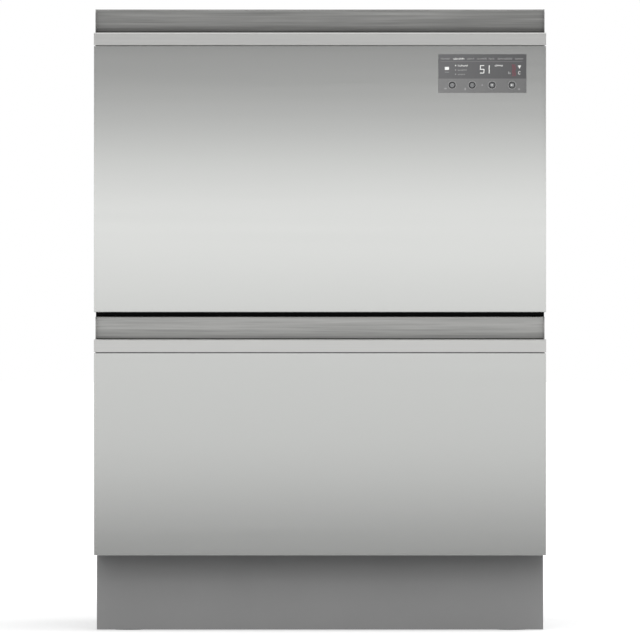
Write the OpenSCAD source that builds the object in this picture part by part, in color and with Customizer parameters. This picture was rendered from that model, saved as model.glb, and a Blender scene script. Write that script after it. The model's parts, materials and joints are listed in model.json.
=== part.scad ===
// Built-in dishwasher with two stacked drawers, each with its own tub, basket, spray arm and lid.
// The frame: +X to the right, the fronts face -Y, +Z up, origin on the floor under the centre.

/* [Overall] */
// Width of each drawer front
front_w = 599; // [590:1:620]
// How far each front overhangs the chassis at its sides
front_overhang = 2; // [1.5:0.5:3]
// Height from the floor to the top of the upper handle
total_h = 825; // [820:1:840]
// Depth from the front faces to the back panel
total_d = 573; // [560:1:620]
// Travel of each drawer
drawer_travel = 500; // [380:10:500]

/* [Drawer fronts] */
// How far the upper front hangs below its drawer module
upper_drop = 39.9; // [36:0.1:44]
// How far the lower front hangs below the base pan
lower_drop = 2.8; // [1:0.1:4]
// Gap between the upper front and the lower handle
front_gap = 5.5; // [3:0.5:8]
// Thickness of the folded front sheet
front_sheet = 1; // [0.8:0.1:1.5]
// Gap of the seam between the handle lip and the front sheet
seam = 1.2; // [0.8:0.1:2]
// Thickness of the plate that closes each front from behind
plate_t = 2; // [1.5:0.5:3]

/* [Handles] */
// Visible height of the handle's front lip
lip_h = 17.7; // [14:0.1:24]
// Rise of the handle's back wall above the lip
handle_rise = 30.5; // [24:0.5:34]
// Thickness of the front lip
lip_t = 5; // [4:0.5:6]
// Clear width of the finger groove
groove_w = 20; // [18:0.5:22]
// Thickness of the handle's back wall
handle_wall = 3; // [2:0.5:4]
// Depth of the finger groove below the top of the lip
groove_depth = 32; // [24:1:32]
// Thickness of the groove's front wall, behind the front sheet
groove_front_wall = 2; // [1.5:0.5:2]

/* [Control panel] */
// Width of the display fascia
fascia_w = 116.8; // [100:0.1:130]
// Height of the display fascia
fascia_h = 51.8; // [46:0.1:60]
// Distance of the fascia from the right edge of the front
fascia_side = 26.5; // [20:0.5:40]
// Distance of the fascia from the top of the front sheet
fascia_top = 11; // [8:0.5:20]
// Thickness of the display fascia
fascia_t = 2.4; // [2:0.1:2.4]
// How far the fascia stands proud of the front sheet
fascia_proud = 0.6; // [0.2:0.1:1]
// Diameter of each push button
button_d = 8.4; // [7:0.1:10]
// Spacing of the push buttons
button_pitch = 26.4; // [22:0.1:28]
// Height of the button row above the fascia's lower edge
button_row = 11; // [9:0.5:14]
// How far a push button stands proud of the fascia
button_proud = 0.2; // [0.1:0.1:1]
// Travel of a push button
button_travel = 0.8; // [0.5:0.1:1.2]

/* [Chassis] */
// Sheet thickness of the chassis
sheet_t = 1; // [0.8:0.1:1.2]
// Height of the base pan above the floor
base_z = 104; // [102:0.5:105]
// Drop of the top panel below the upper handle
top_drop = 3; // [2:0.5:5]
// Width of the turned-in chassis flanges
flange_w = 14; // [10:1:16]
// Depth of the pressed ribs
press_depth = 2.5; // [1.5:0.5:3]
// Distance from the fronts' faces to the chassis front trim
trim_setback = 32.5; // [32.5:0.5:34]
// Thickness of the black front trim
trim_t = 1.5; // [1:0.5:2]
// Height of the middle cross rail's front flange
mid_rail_h = 45.5; // [40:0.5:46]
// Height of a screw's head
screw_head_h = 1.6; // [1:0.1:2.5]
// Radius of the four fixing holes in the top panel
fixing_hole_r = 2.75; // [2:0.25:3.5]

/* [Plinth] */
// Setback of the kick strip behind the fronts
kick_setback = 60; // [50:1:80]
// How far the kick strip's ends are set in from the chassis sides
kick_side_gap = 0.5; // [0.5:0.5:5]
// Clearance of the kick strip above the floor
kick_floor_gap = 1; // [0.5:0.5:5]
// Sheet thickness of the kick strip
kick_t = 1.2; // [0.8:0.1:2]
// Radius of a foot's pad
foot_pad_r = 22; // [18:1:25]
// Radius of a foot's threaded stem
foot_stem_r = 5; // [4:0.5:6]
// How far the feet screw out
foot_travel = 55; // [30:5:60]

/* [Drawer modules] */
// Height kept above a tub's rim for its lid
lid_room = 55; // [54:0.5:60]
// Distance from the top of the upper drawer module to the top of the upper handle
head_gap = 2; // [1:0.5:5]
// Height of a tub's underside above its module's base
tub_floor_h = 62; // [60:1:66]
// Space between a tub's side and the chassis wall
tub_side_gap = 24.5; // [24:0.5:26]
// Space behind a tub
tub_rear_gap = 54.5; // [45:0.5:70]
// Wall thickness of a tub
tub_wall = 3; // [2.5:0.5:4]
// Corner radius of a tub
tub_corner_r = 40; // [30:1:42]
// Width of the tub's side and rear rim
rim_w = 12; // [10:1:12]
// Thickness of the tub's rim
rim_t = 4; // [3:0.5:5]
// Radius of the sump under a tub
sump_r = 95; // [85:1:105]
// Depth of the sump below the tub's underside
sump_depth = 25; // [20:1:26]

/* [Runners] */
// Height of the chassis member of a runner
runner_h = 44; // [36:1:46]
// Sheet thickness of the runner members
runner_t = 1.5; // [1.2:0.1:1.8]
// Gap between nested runner members
runner_gap = 0.4; // [0.3:0.05:0.6]
// Height of the runners above the module's base
runner_z = 100; // [95:1:110]

/* [Wash system] */
// Radius swept by a spray arm
spray_r = 205; // [180:1:212]
// Height of the spray arm above the tub's floor
spray_lift = 20; // [18:1:26]
// Thickness of the spray arm
spray_t = 13; // [10:1:16]
// Radius of the round filter plate
filter_r = 150; // [130:1:170]
// Radius of the lift-out drain filter
drain_filter_r = 30; // [26:1:32]
// Radius of the pump motor
motor_r = 62; // [50:1:70]

/* [Basket] */
// Gap between the basket and the tub's walls
basket_gap = 13; // [10:0.5:16]
// Height of the basket's floor above the tub's floor
basket_lift = 55; // [50:1:60]
// Clearance of the basket's top wire below the dispenser
basket_head_gap = 4; // [3:0.5:10]
// Radius of the basket's frame wires
frame_wire_r = 2.3; // [2:0.1:3]
// Radius of the thinner basket wires
thin_wire_r = 1.6; // [1.2:0.1:2]
// Height of the plate tines
tine_h = 62; // [50:1:66]
// Spacing of the plate tines
tine_pitch = 29; // [24:1:40]
// Width of the cup rack
cup_rack_w = 74; // [60:1:76]
// Width of the cutlery basket
cutlery_w = 92; // [80:1:100]
// Length of the cutlery basket
cutlery_len = 176; // [140:2:190]
// Height of the cutlery basket
cutlery_h = 102; // [80:1:110]

/* [Lids] */
// Lift of a lid above the tub's rim, less the seal
lid_lift = 8.5; // [6:0.5:9]
// Height of the lid's moulding
lid_h = 22; // [18:1:24]
// Height of the lid's rubber seal
seal_h = 5; // [4:0.5:6]
// Length of a lid arm from its pivot to the lid's pin
arm_len = 45; // [40:1:60]

/* [Detergent dispenser] */
// Width of the dispenser
dispenser_w = 176; // [160:1:200]
// Height of the dispenser
dispenser_h = 62; // [56:1:64]
// Width of the detergent door
door_w = 74; // [60:1:80]
// Height of the detergent door
door_h = 46; // [40:1:48]

/* [Hidden] */
$fn = 48;
// round wires are eight-sided, which keeps a basket of them light
wire_sides = 8;
// clearance between a moving piece and its neighbour
running = 0.4;
// radial clearance of a pin that turns in its bearing
pin_play = 0.08;
// gap between two pieces that are fixed to each other but drawn apart
seat_gap = 0.3;

// planes of the cabinet
front_y = -total_d / 2;
// the back panel is set in so that the buttons and the rear screw heads stand out equally
back_y = total_d / 2 + fascia_proud + button_proud - screw_head_h;
front_t = lip_t + groove_w + handle_wall;
plate_back_y = front_y + front_t + plate_t;
trim_y = front_y + trim_setback;
shell_y = trim_y + trim_t;
shell_half = front_w / 2 - front_overhang;
inner_half = shell_half - sheet_t;
shell_top = total_h - top_drop;
rear_y = back_y - sheet_t;
rear_flange_y = rear_y - sheet_t;

// the two drawer modules share the height above the base pan
lower_base = base_z - sheet_t;
module_pitch = (total_h - head_gap - lower_base) / 2;
upper_base = lower_base + module_pitch;
rim_h = module_pitch - lid_room;

// heights of the two fronts
upper_top = total_h;
upper_bottom = upper_base - upper_drop;
lower_top = upper_bottom - front_gap;
lower_bottom = base_z - lower_drop;
upper_panel_top = upper_top - handle_rise - lip_h - seam;
lower_panel_top = lower_top - handle_rise - lip_h - seam;

// plinth
kick_y = front_y + kick_setback;
kick_half = shell_half - kick_side_gap;
beam_h = 32;
beam_w = 46;
beam_t = 2;
beam_x = inner_half - beam_w / 2 - 18.5;
foot_front_y = kick_y + 38;
foot_rear_y = back_y - 46;
foot_pad_h = 8;
foot_stem_top = base_z - beam_h + foot_travel + 22;

// tub
tub_half = inner_half - tub_side_gap;
tub_front_y = front_y + 38.5;
tub_rear_y = back_y - tub_rear_gap;
tub_mid_y = (tub_front_y + tub_rear_y) / 2;
rim_front_w = tub_front_y - plate_back_y - 1.5;
floor_h = tub_floor_h + tub_wall;
sump_bottom_h = tub_floor_h - sump_depth;

// wash system, in heights above the module's base
filter_h = floor_h + seat_gap;
filter_t = 3;
hub_r = 9;
spray_h = floor_h + spray_lift;
drain_x = 56;
drain_cup_r = drain_filter_r - 4;
pump_body_r = 22;

// how far the dispenser sits below the tub's rim
dispenser_drop = 14;

// basket, in the tub's frame
basket_half = tub_half - tub_wall - basket_gap;
basket_front_y = tub_front_y + tub_wall + basket_gap;
basket_rear_y = tub_rear_y - tub_wall - basket_gap;
basket_floor_h = floor_h + basket_lift;
basket_top_h = rim_h - dispenser_drop - dispenser_h - basket_head_gap;
wire_bite = 0.8;
cross_h = basket_floor_h + 2 * thin_wire_r - wire_bite;
grid_pitch = 44;
tine_rows = [-185, -125, 20, 75];
fold_row_x = -60;
row_front_y = basket_front_y + 30;
row_rear_y = basket_rear_y - 30;
fixed_rod_h = basket_floor_h + 2 * thin_wire_r + seat_gap;
rod_h = fixed_rod_h + 3;
clip_r = thin_wire_r + 2;
cutlery_x = basket_half - 6 - cutlery_w / 2;
cutlery_y = basket_rear_y - 8 - cutlery_len / 2;
cutlery_bottom_h = cross_h + thin_wire_r + seat_gap;

// lid
lid_half = tub_half + 8;
lid_front_y = shell_y + 2.5;
lid_rear_y = tub_rear_y + 8;
seal_bottom_h = rim_h + lid_lift + 0.5;
lid_bottom_h = seal_bottom_h + seal_h;
lid_wall = 3;
lid_pin_r = 3;
lid_pin_y = 15;
lid_pin_h = lid_bottom_h + 14;
arm_x = lid_half + 5;
arm_t = 5;
arm_slot_play = 0.8;
arm_start = asin(lid_lift / 2 / arm_len);
arm_pivot_y = lid_pin_y + arm_len * cos(arm_start);
arm_pivot_h = lid_pin_h - arm_len * sin(arm_start);
arm_pivot_r = 4;

// runners: the chassis member, the middle member and the drawer member, from outside in
runner_y = shell_y + 4;
runner_len = drawer_travel;
outer_depth = 10.5;
outer_web_x = inner_half - runner_t;
outer_lip_x = inner_half - outer_depth;
mid_half_h = runner_h / 2 - runner_t - runner_gap;
mid_out_x = outer_web_x - runner_gap;
mid_web_x = mid_out_x - 3.6;
mid_in_x = outer_lip_x + 0.8;
drawer_half_h = mid_half_h - runner_t - runner_gap;
drawer_out_x = mid_web_x - runner_t - runner_gap;
drawer_web_x = outer_lip_x - 1.2 - runner_t;

// dispenser
dispenser_y = tub_front_y + tub_wall + 14;
dispenser_top_h = rim_h - dispenser_drop;
dispenser_bottom_h = dispenser_top_h - dispenser_h;
dispenser_x = -20;
door_x = dispenser_x - dispenser_w / 2 + door_w / 2 + 13;
door_bottom_h = dispenser_bottom_h + 8;
door_t = 3;
// distance of the rinse aid cap's centre from the dispenser's right end
cap_side = 40;
cap_x = dispenser_x + dispenser_w / 2 - cap_side;
cap_h = (dispenser_top_h + dispenser_bottom_h) / 2;
cap_r = 19;

// ---- helpers ----

// a box between two corners
module block(low, high) {
    translate(low) cube(high - low);
}

// the same shape on the right and on the left
module both_sides() {
    children();
    mirror([1, 0, 0]) children();
}

// a rectangle with true round corners
module rounded_rect(low, high, r) {
    w = high[0] - low[0];
    d = high[1] - low[1];
    translate(low) {
        translate([r, 0]) square([w - 2 * r, d]);
        translate([0, r]) square([w, d - 2 * r]);
        for (x = [r, w - r], y = [r, d - r]) translate([x, y]) circle(r);
    }
}

// a rounded plate between two heights
module rounded_slab(low, high, r, z0, z1) {
    translate([0, 0, z0]) linear_extrude(z1 - z0) rounded_rect(low, high, r);
}

// round bars along each axis
module bar_x(x0, x1, y, z, r, sides = 0) {
    translate([x0, y, z]) rotate([0, 90, 0]) cylinder(h = x1 - x0, r = r, $fn = sides ? sides : $fn);
}
module bar_y(x, y0, y1, z, r, sides = 0) {
    translate([x, y0, z]) rotate([-90, 0, 0]) cylinder(h = y1 - y0, r = r, $fn = sides ? sides : $fn);
}
module bar_z(x, y, z0, z1, r, sides = 0) {
    translate([x, y, z0]) cylinder(h = z1 - z0, r = r, $fn = sides ? sides : $fn);
}

// a sheet standing in the YZ plane from x to x + t, with pressed pockets pushed towards -X by depth
module pressed_sheet_x(x, t, y0, y1, z0, z1, pockets, depth) {
    difference() {
        union() {
            block([x, y0, z0], [x + t, y1, z1]);
            for (p = pockets)
                block([x - depth, p[0] - t, p[1] - t], [x + t / 2, p[2] + t, p[3] + t]);
        }
        for (p = pockets)
            block([x - depth + t, p[0], p[1]], [x + t + 1, p[2], p[3]]);
    }
}

// ---- chassis ----

rib_w = 14;
rib_inset = 70;
rib_front_y = shell_y + 40;
rib_rear_y = rear_y - rib_inset;
rib_low = 30;
// upright ribs start above the runners
rib_rise = runner_z + runner_h + 26;
side_pockets = [
    [shell_y + rib_inset, base_z + rib_low, rib_rear_y, base_z + rib_low + rib_w],
    [shell_y + rib_inset, upper_base - 66, rib_rear_y, upper_base - 66 + rib_w],
    [rib_front_y, upper_base + rib_rise, rib_front_y + rib_w, shell_top - rib_inset],
    [rib_rear_y, upper_base + rib_rise, rib_rear_y + rib_w, shell_top - rib_inset],
    [rib_front_y, lower_base + rib_rise, rib_front_y + rib_w, upper_base - 90],
    [rib_rear_y, lower_base + rib_rise, rib_rear_y + rib_w, upper_base - 90]
];

module side_panel() {
    color("silver") {
        pressed_sheet_x(inner_half, sheet_t, shell_y, back_y, base_z, shell_top - sheet_t,
            side_pockets, press_depth);
        // turned-in flanges at the top and at the back
        block([inner_half - flange_w, shell_y, shell_top - 2 * sheet_t],
            [inner_half, rear_y, shell_top - sheet_t]);
        block([inner_half - flange_w, rear_flange_y, base_z + 2 * sheet_t],
            [inner_half, rear_y, shell_top - sheet_t]);
    }
}

pocket_side = 76.5;
rear_pocket_x = inner_half - pocket_side;
rear_pockets = [
    [-rear_pocket_x, lower_base + 40, rear_pocket_x, lower_base + 40 + rib_w],
    [-rear_pocket_x, upper_base - 40, rear_pocket_x, upper_base - 40 + rib_w],
    [-rear_pocket_x, shell_top - 80, rear_pocket_x, shell_top - 80 + rib_w]
];
vent_pitch = 16;
vent_count = 9;
vent_w = 6;
vent_h = 50;

module rear_panel() {
    color("silver") difference() {
        union() {
            block([-inner_half, rear_y, base_z], [inner_half, back_y, shell_top - sheet_t]);
            for (p = rear_pockets)
                block([p[0] - sheet_t, rear_y - press_depth, p[1] - sheet_t],
                    [p[2] + sheet_t, rear_y + sheet_t / 2, p[3] + sheet_t]);
        }
        for (p = rear_pockets)
            block([p[0], rear_y - press_depth + sheet_t, p[1]], [p[2], back_y + 1, p[3]]);
        // vent slots behind each drawer
        for (base = [lower_base, upper_base], i = [0 : vent_count - 1])
            translate([-150 + i * vent_pitch, rear_y - 1, base + 150])
                cube([vent_w, sheet_t + 2, vent_h]);
    }
}

fixing_inset = 28;
top_pockets = [20, shell_half - 62.5];

module top_panel() {
    z = shell_top - sheet_t;
    color("silver") difference() {
        union() {
            block([-shell_half, shell_y, z], [shell_half, back_y, shell_top]);
            both_sides() block([top_pockets[0] - sheet_t, shell_y + rib_inset - sheet_t, z - press_depth],
                [top_pockets[1] + sheet_t, rib_rear_y + sheet_t, z + sheet_t / 2]);
        }
        both_sides() block([top_pockets[0], shell_y + rib_inset, z - press_depth + sheet_t],
            [top_pockets[1], rib_rear_y, shell_top + 1]);
        for (x = [-1, 1], y = [shell_y + fixing_inset, back_y - fixing_inset])
            translate([x * (shell_half - fixing_inset), y, z - 1])
                cylinder(h = sheet_t + 2, r = fixing_hole_r);
    }
}

pan_flange = 18;
pan_slot_pitch = 30;
pan_slot_len = 80;

module base_pan() {
    color("silver") difference() {
        union() {
            block([-inner_half, shell_y, base_z], [inner_half, rear_y, base_z + sheet_t]);
            both_sides() block([inner_half - sheet_t, shell_y, base_z],
                [inner_half, rear_flange_y, base_z + pan_flange]);
        }
        for (x = [-beam_x, beam_x], y = [foot_front_y, foot_rear_y])
            translate([x, y, base_z - 1]) cylinder(h = sheet_t + 2, r = foot_stem_r + 2);
        // drain slots in the middle of the pan
        for (i = [-3 : 3]) translate([i * pan_slot_pitch - vent_w / 2, -pan_slot_len / 2, base_z - 1])
            cube([vent_w, pan_slot_len, sheet_t + 2]);
    }
}

module front_trim() {
    strip = 2.3;
    rail_half = shell_half - strip - seat_gap;
    rail_top = upper_base + 1;
    color([0.06, 0.06, 0.06]) {
        both_sides() block([shell_half - strip, trim_y, base_z], [shell_half, shell_y, shell_top]);
        // top rail
        block([-rail_half, trim_y, upper_base + rim_h + lid_lift + 1], [rail_half, shell_y, shell_top]);
        // middle cross rail: its face, and the ledge behind it
        block([-rail_half, trim_y, rail_top - mid_rail_h], [rail_half, shell_y, rail_top]);
        block([-inner_half + seat_gap, shell_y + seat_gap, rail_top - trim_t],
            [inner_half - seat_gap, shell_y + 18, rail_top]);
    }
}

module leg_beams() {
    color("silver") both_sides() difference() {
        block([beam_x - beam_w / 2, kick_y + kick_t, base_z - beam_h],
            [beam_x + beam_w / 2, rear_y - 6, base_z]);
        block([beam_x - beam_w / 2 + beam_t, kick_y + kick_t + beam_t, base_z - beam_h + beam_t],
            [beam_x + beam_w / 2 - beam_t, rear_y - 6 - beam_t, base_z - beam_t]);
        for (y = [foot_front_y, foot_rear_y])
            translate([beam_x, y, base_z - beam_h - 1])
                cylinder(h = beam_h + 2, r = foot_stem_r + running);
    }
}

module levelling_feet() {
    color([0.15, 0.15, 0.16]) for (x = [-beam_x, beam_x], y = [foot_front_y, foot_rear_y])
        translate([x, y, 0]) {
            cylinder(h = foot_pad_h * 0.6, r = foot_pad_r);
            translate([0, 0, foot_pad_h * 0.6 - 0.01])
                cylinder(h = foot_pad_h * 0.4 + 0.01, r1 = foot_pad_r, r2 = foot_pad_r * 0.6);
            translate([0, 0, foot_pad_h - 0.01])
                cylinder(h = 7, r = foot_stem_r * 1.9, $fn = 6);
            cylinder(h = foot_stem_top, r = foot_stem_r);
        }
}

kick_return = 18;
kick_top = base_z - 1;

module kick_strip() {
    color([0.42, 0.42, 0.42]) difference() {
        block([-kick_half, kick_y, kick_floor_gap], [kick_half, kick_y + kick_return, kick_top]);
        block([-kick_half + kick_t, kick_y + kick_t, kick_floor_gap - 1],
            [kick_half - kick_t, kick_y + kick_return + 1, kick_top + 1]);
    }
}

// one chassis runner member: a channel that opens inwards
module chassis_runner(z) {
    color("gainsboro") difference() {
        block([outer_lip_x, runner_y, z - runner_h / 2],
            [inner_half, runner_y + runner_len, z + runner_h / 2]);
        block([outer_lip_x - 1, runner_y - 1, z - runner_h / 2 + runner_t],
            [outer_web_x, runner_y + runner_len + 1, z + runner_h / 2 - runner_t]);
    }
}

module chassis_runners() {
    both_sides() for (base = [lower_base, upper_base]) chassis_runner(base + runner_z);
}

actuator_len = 54;

module lid_actuators() {
    for (base = [lower_base, upper_base]) color([0.2, 0.2, 0.22]) both_sides() {
        z = base + arm_pivot_h;
        // motor box on the side wall, with its round housing
        block([arm_x + arm_t / 2 + 2.6, arm_pivot_y + 12, z - 16],
            [inner_half, arm_pivot_y + 12 + actuator_len, z + 8]);
        // bearing plate and the pivot pin that carries the arm
        block([inner_half - 3, arm_pivot_y - 12, z - 12], [inner_half, arm_pivot_y + 12.01, z + 8]);
        bar_x(arm_x - arm_t / 2 - 1.4, inner_half - 1, arm_pivot_y, z, arm_pivot_r);
    }
}

service_y = back_y - 46;
inlet_x = -70;
inlet_r = 13.2;
inlet_len = 16;
drain_outlet_x = 20;
drain_outlet_r = 9.5;
drain_outlet_len = 28;
gland_x = 78;
gland_bore_r = 4.5;
gland_len = 16;
service_z = 66;
service_t = 4;

service_half = 110;
service_hood = 12;
gland_neck_r = 8;

module service_panel() {
    back = service_y + service_t;
    color([0.25, 0.26, 0.28]) {
        // plate with the flange that carries it under the base pan
        difference() {
            union() {
                block([-service_half, service_y, 30], [service_half, back, base_z]);
                block([-service_half, service_y - service_hood, base_z - service_t],
                    [service_half, service_y, base_z]);
            }
            bar_y(drain_outlet_x, service_y - 1, back + 1, service_z, drain_outlet_r - 2.5);
            bar_y(gland_x, service_y - 1, back + 1, service_z, gland_neck_r + seat_gap);
            bar_y(inlet_x, service_y - 1, back + 1, service_z, inlet_r + 2.4);
        }
        // drain spigot with its flange
        difference() {
            union() {
                bar_y(drain_outlet_x, back + seat_gap, back + 6, service_z, drain_outlet_r + 5);
                bar_y(drain_outlet_x, back + seat_gap, back + 6 + drain_outlet_len, service_z,
                    drain_outlet_r);
            }
            bar_y(drain_outlet_x, back - 1, back + 8 + drain_outlet_len, service_z,
                drain_outlet_r - 2.5);
        }
        // cable gland, with its neck in the plate
        difference() {
            union() {
                bar_y(gland_x, service_y, service_y + gland_len, service_z, gland_neck_r);
                bar_y(gland_x, back + seat_gap, service_y + gland_len, service_z, gland_neck_r + 3);
            }
            bar_y(gland_x, service_y - 1, service_y + gland_len + 1, service_z, gland_bore_r);
        }
    }
}

module inlet_valve() {
    neck_r = inlet_r + 2;
    color([0.86, 0.87, 0.88]) difference() {
        union() {
            block([inlet_x - 19, service_y - 26, service_z - 19],
                [inlet_x + 19, service_y - running, service_z + 19]);
            bar_y(inlet_x, service_y - 2, service_y + service_t + 6, service_z, neck_r);
            bar_y(inlet_x, service_y, service_y + service_t + 6 + inlet_len, service_z, inlet_r);
        }
        bar_y(inlet_x, service_y - 10, service_y + service_t + 8 + inlet_len, service_z, inlet_r - 4);
    }
}

screw_x = inner_half - 46.5;

// pan-head screws on the outside of the chassis, at the kick strip and on the back
module screw_y(x, y, z, way) {
    translate([x, y, z]) rotate([way * -90, 0, 0]) cylinder(h = screw_head_h, r = 4.2, $fn = 24);
}

module screws() {
    color("dimgray") {
        for (x = [-screw_x, 0, screw_x], z = [base_z + 16, upper_base - 90, shell_top - 20])
            screw_y(x, back_y, z, 1);
        for (x = [-beam_x, beam_x]) screw_y(x, kick_y, base_z - beam_h / 2, -1);
    }
}

// ---- drawer fronts ----

// folded tray: the visible sheet with its side, bottom and top returns, and a narrow flange
// turned in along the back of the side and bottom returns
module front_shell(z0, z1) {
    flange = 14;
    flange_top = z1 - groove_depth;
    inside = front_w / 2 - front_sheet;
    difference() {
        block([-front_w / 2, front_y, z0], [front_w / 2, front_y + front_t, z1]);
        block([-inside, front_y + front_sheet, z0 + front_sheet],
            [inside, front_y + front_t - front_sheet, z1 + 1]);
        block([-inside + flange, front_y + front_sheet, z0 + flange],
            [inside - flange, front_y + front_t + 1, z1 + 1]);
        block([-inside, front_y + front_sheet, flange_top], [inside, front_y + front_t + 1, z1 + 1]);
    }
    // short return along the top edge, under the handle's lip
    block([-inside - front_sheet / 2, front_y + front_sheet / 2, z1 - front_sheet],
        [inside + front_sheet / 2, front_y + lip_t - groove_front_wall - seat_gap, z1]);
}

fascia_x1 = front_w / 2 - fascia_side;
fascia_x0 = fascia_x1 - fascia_w;
fascia_z1 = upper_panel_top - fascia_top;
fascia_z0 = fascia_z1 - fascia_h;
fascia_y = front_y - fascia_proud;
button_z = fascia_z0 + button_row;
button_x0 = (fascia_x0 + fascia_x1) / 2 - 1.5 * button_pitch;
button_gap = 0.35;

module upper_front_panel() {
    color([0.78, 0.78, 0.77]) difference() {
        front_shell(upper_bottom, upper_panel_top);
        // window for the display fascia
        block([fascia_x0 - 0.2, front_y - 1, fascia_z0 - 0.2],
            [fascia_x1 + 0.2, front_y + front_sheet + 1, fascia_z1 + 0.2]);
    }
}

module lower_front_panel() {
    color([0.78, 0.78, 0.77]) front_shell(lower_bottom, lower_panel_top);
}

// side view of the handle's finger groove: lip, round bottom and back wall
module handle_profile(with_lip) {
    r_in = groove_w / 2;
    r_out = r_in + handle_wall;
    axis_y = lip_t + r_in;
    axis_z = -handle_rise - groove_depth + r_in;
    // round bottom
    intersection() {
        difference() {
            translate([axis_y, axis_z]) circle(r_out);
            translate([axis_y, axis_z]) circle(r_in);
        }
        translate([lip_t - groove_front_wall, axis_z - r_out])
            square([groove_w + groove_front_wall + handle_wall, r_out]);
    }
    // back wall with a round top edge
    translate([axis_y + r_in, axis_z]) square([handle_wall, -axis_z - handle_wall / 2]);
    translate([axis_y + r_in + handle_wall / 2, -handle_wall / 2]) circle(handle_wall / 2);
    // front wall of the groove, behind the front sheet
    translate([lip_t - groove_front_wall, axis_z])
        square([groove_front_wall, -handle_rise - lip_h - axis_z + 0.01]);
    if (with_lip) translate([0, -handle_rise - lip_h]) handle_lip();
}

module handle_lip() {
    square([lip_t, lip_h - lip_t / 2]);
    translate([lip_t / 2, lip_h - lip_t / 2]) circle(lip_t / 2);
}

// extrudes a (y, z) outline along X, centred
module along_x(w) {
    translate([-w / 2, 0, 0]) rotate([90, 0, 90]) linear_extrude(w) children();
}

module handle(top_z) {
    cap_half = shell_half - 1;
    color([0.72, 0.72, 0.71]) translate([0, front_y, top_z]) {
        along_x(2 * cap_half) handle_profile(false);
        along_x(front_w) translate([0, -handle_rise - lip_h]) handle_lip();
        // end caps that close the groove
        both_sides() block([cap_half - 0.01, lip_t, -handle_rise - groove_depth],
            [shell_half, front_t, -handle_wall / 2]);
    }
}

plate_half = front_w / 2 - 3;
boss_w = 34;
boss_x = 180;

// plate that closes the front and carries it on the tub with four bosses
module front_plate(z0, z1, base) {
    color("gray") {
        block([-plate_half, front_y + front_t + seat_gap, z0 + 4], [plate_half, plate_back_y, z1]);
        for (x = [-boss_x, boss_x], z = [base + tub_floor_h + 30, z1 - 52 - boss_w])
            block([x - boss_w / 2, plate_back_y - 0.01, z],
                [x + boss_w / 2, tub_front_y - seat_gap, z + boss_w]);
    }
}

module display_fascia() {
    color([0.40, 0.40, 0.40]) difference() {
        block([fascia_x0, fascia_y, fascia_z0], [fascia_x1, fascia_y + fascia_t, fascia_z1]);
        for (i = [0 : 3])
            bar_y(button_x0 + i * button_pitch, fascia_y - 1, fascia_y + fascia_t + 1, button_z,
                button_d / 2 + button_gap);
    }
}

button_len = 7;

module push_button(i) {
    color([0.30, 0.30, 0.30])
        translate([button_x0 + i * button_pitch, fascia_y - button_proud, button_z])
            rotate([-90, 0, 0]) {
                cylinder(h = button_len, r = button_d / 2);
                // collar behind the fascia that keeps the button in
                translate([0, 0, fascia_t + button_proud + button_gap])
                    cylinder(h = 1.6, r = button_d / 2 + 1.2);
            }
}

module control_module() {
    low_y = fascia_y + fascia_t + seat_gap;
    module_top = upper_top - handle_rise - groove_depth - handle_wall - 1;
    cavity_back = fascia_y + button_len + button_travel + 1.2;
    color([0.12, 0.30, 0.20]) difference() {
        block([fascia_x0 + 1, low_y, fascia_z0 + 1], [fascia_x1 - 1, low_y + 4, module_top]);
        block([fascia_x0 + 3, low_y - 1, fascia_z0 + 3], [fascia_x1 - 3, low_y + 5, module_top - 2]);
    }
    // closed housing behind the buttons
    color([0.12, 0.30, 0.20]) difference() {
        block([fascia_x0 - 4, low_y + 3.99, fascia_z0 - 6],
            [fascia_x1 + 4, front_y + front_t - seat_gap, module_top]);
        block([fascia_x0 + 3, low_y + 3, fascia_z0 + 3], [fascia_x1 - 3, cavity_back, module_top - 2]);
    }
}

// ---- tub ----

tub_low = [-tub_half, tub_front_y];
tub_high = [tub_half, tub_rear_y];

module tub(base) {
    inset = [tub_wall, tub_wall];
    color([0.87, 0.88, 0.88]) translate([0, 0, base]) difference() {
        union() {
            rounded_slab(tub_low, tub_high, tub_corner_r, tub_floor_h, rim_h);
            rounded_slab(tub_low - [rim_w, rim_front_w], tub_high + [rim_w, rim_w],
                tub_corner_r + rim_w, rim_h - rim_t, rim_h);
            translate([0, tub_mid_y, sump_bottom_h])
                cylinder(h = sump_depth + 1, r = sump_r);
        }
        rounded_slab(tub_low + inset, tub_high - inset, tub_corner_r - tub_wall, floor_h, rim_h + 1);
        translate([0, tub_mid_y, sump_bottom_h + tub_wall])
            cylinder(h = sump_depth + tub_wall, r = sump_r - tub_wall);
        // window in the front wall for the dispenser
        block([dispenser_x - dispenser_w / 2 + 8, tub_front_y - 1, dispenser_bottom_h + 6],
            [dispenser_x + dispenser_w / 2 - 8, tub_front_y + tub_wall + 1, dispenser_top_h - 6]);
        // hole for the pump's hub
        translate([0, tub_mid_y, sump_bottom_h - 1]) cylinder(h = tub_wall + 2, r = pump_body_r + running);
    }
}

// drawer member of a runner with its carrier on the tub's side
module drawer_runner(z) {
    difference() {
        block([drawer_web_x, runner_y, z - drawer_half_h],
            [drawer_out_x, runner_y + runner_len, z + drawer_half_h]);
        block([drawer_web_x + runner_t, runner_y - 1, z - drawer_half_h + runner_t],
            [drawer_out_x + 1, runner_y + runner_len + 1, z + drawer_half_h - runner_t]);
    }
    // carriers screwed to the tub
    for (y = [tub_front_y + tub_corner_r + 10, tub_mid_y - 30, tub_rear_y - tub_corner_r - 70])
        block([tub_half, y, z - drawer_half_h], [drawer_web_x + 0.01, y + 60, z + drawer_half_h]);
}

module drawer_runners(base) {
    color("gainsboro") both_sides() drawer_runner(base + runner_z);
}

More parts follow.
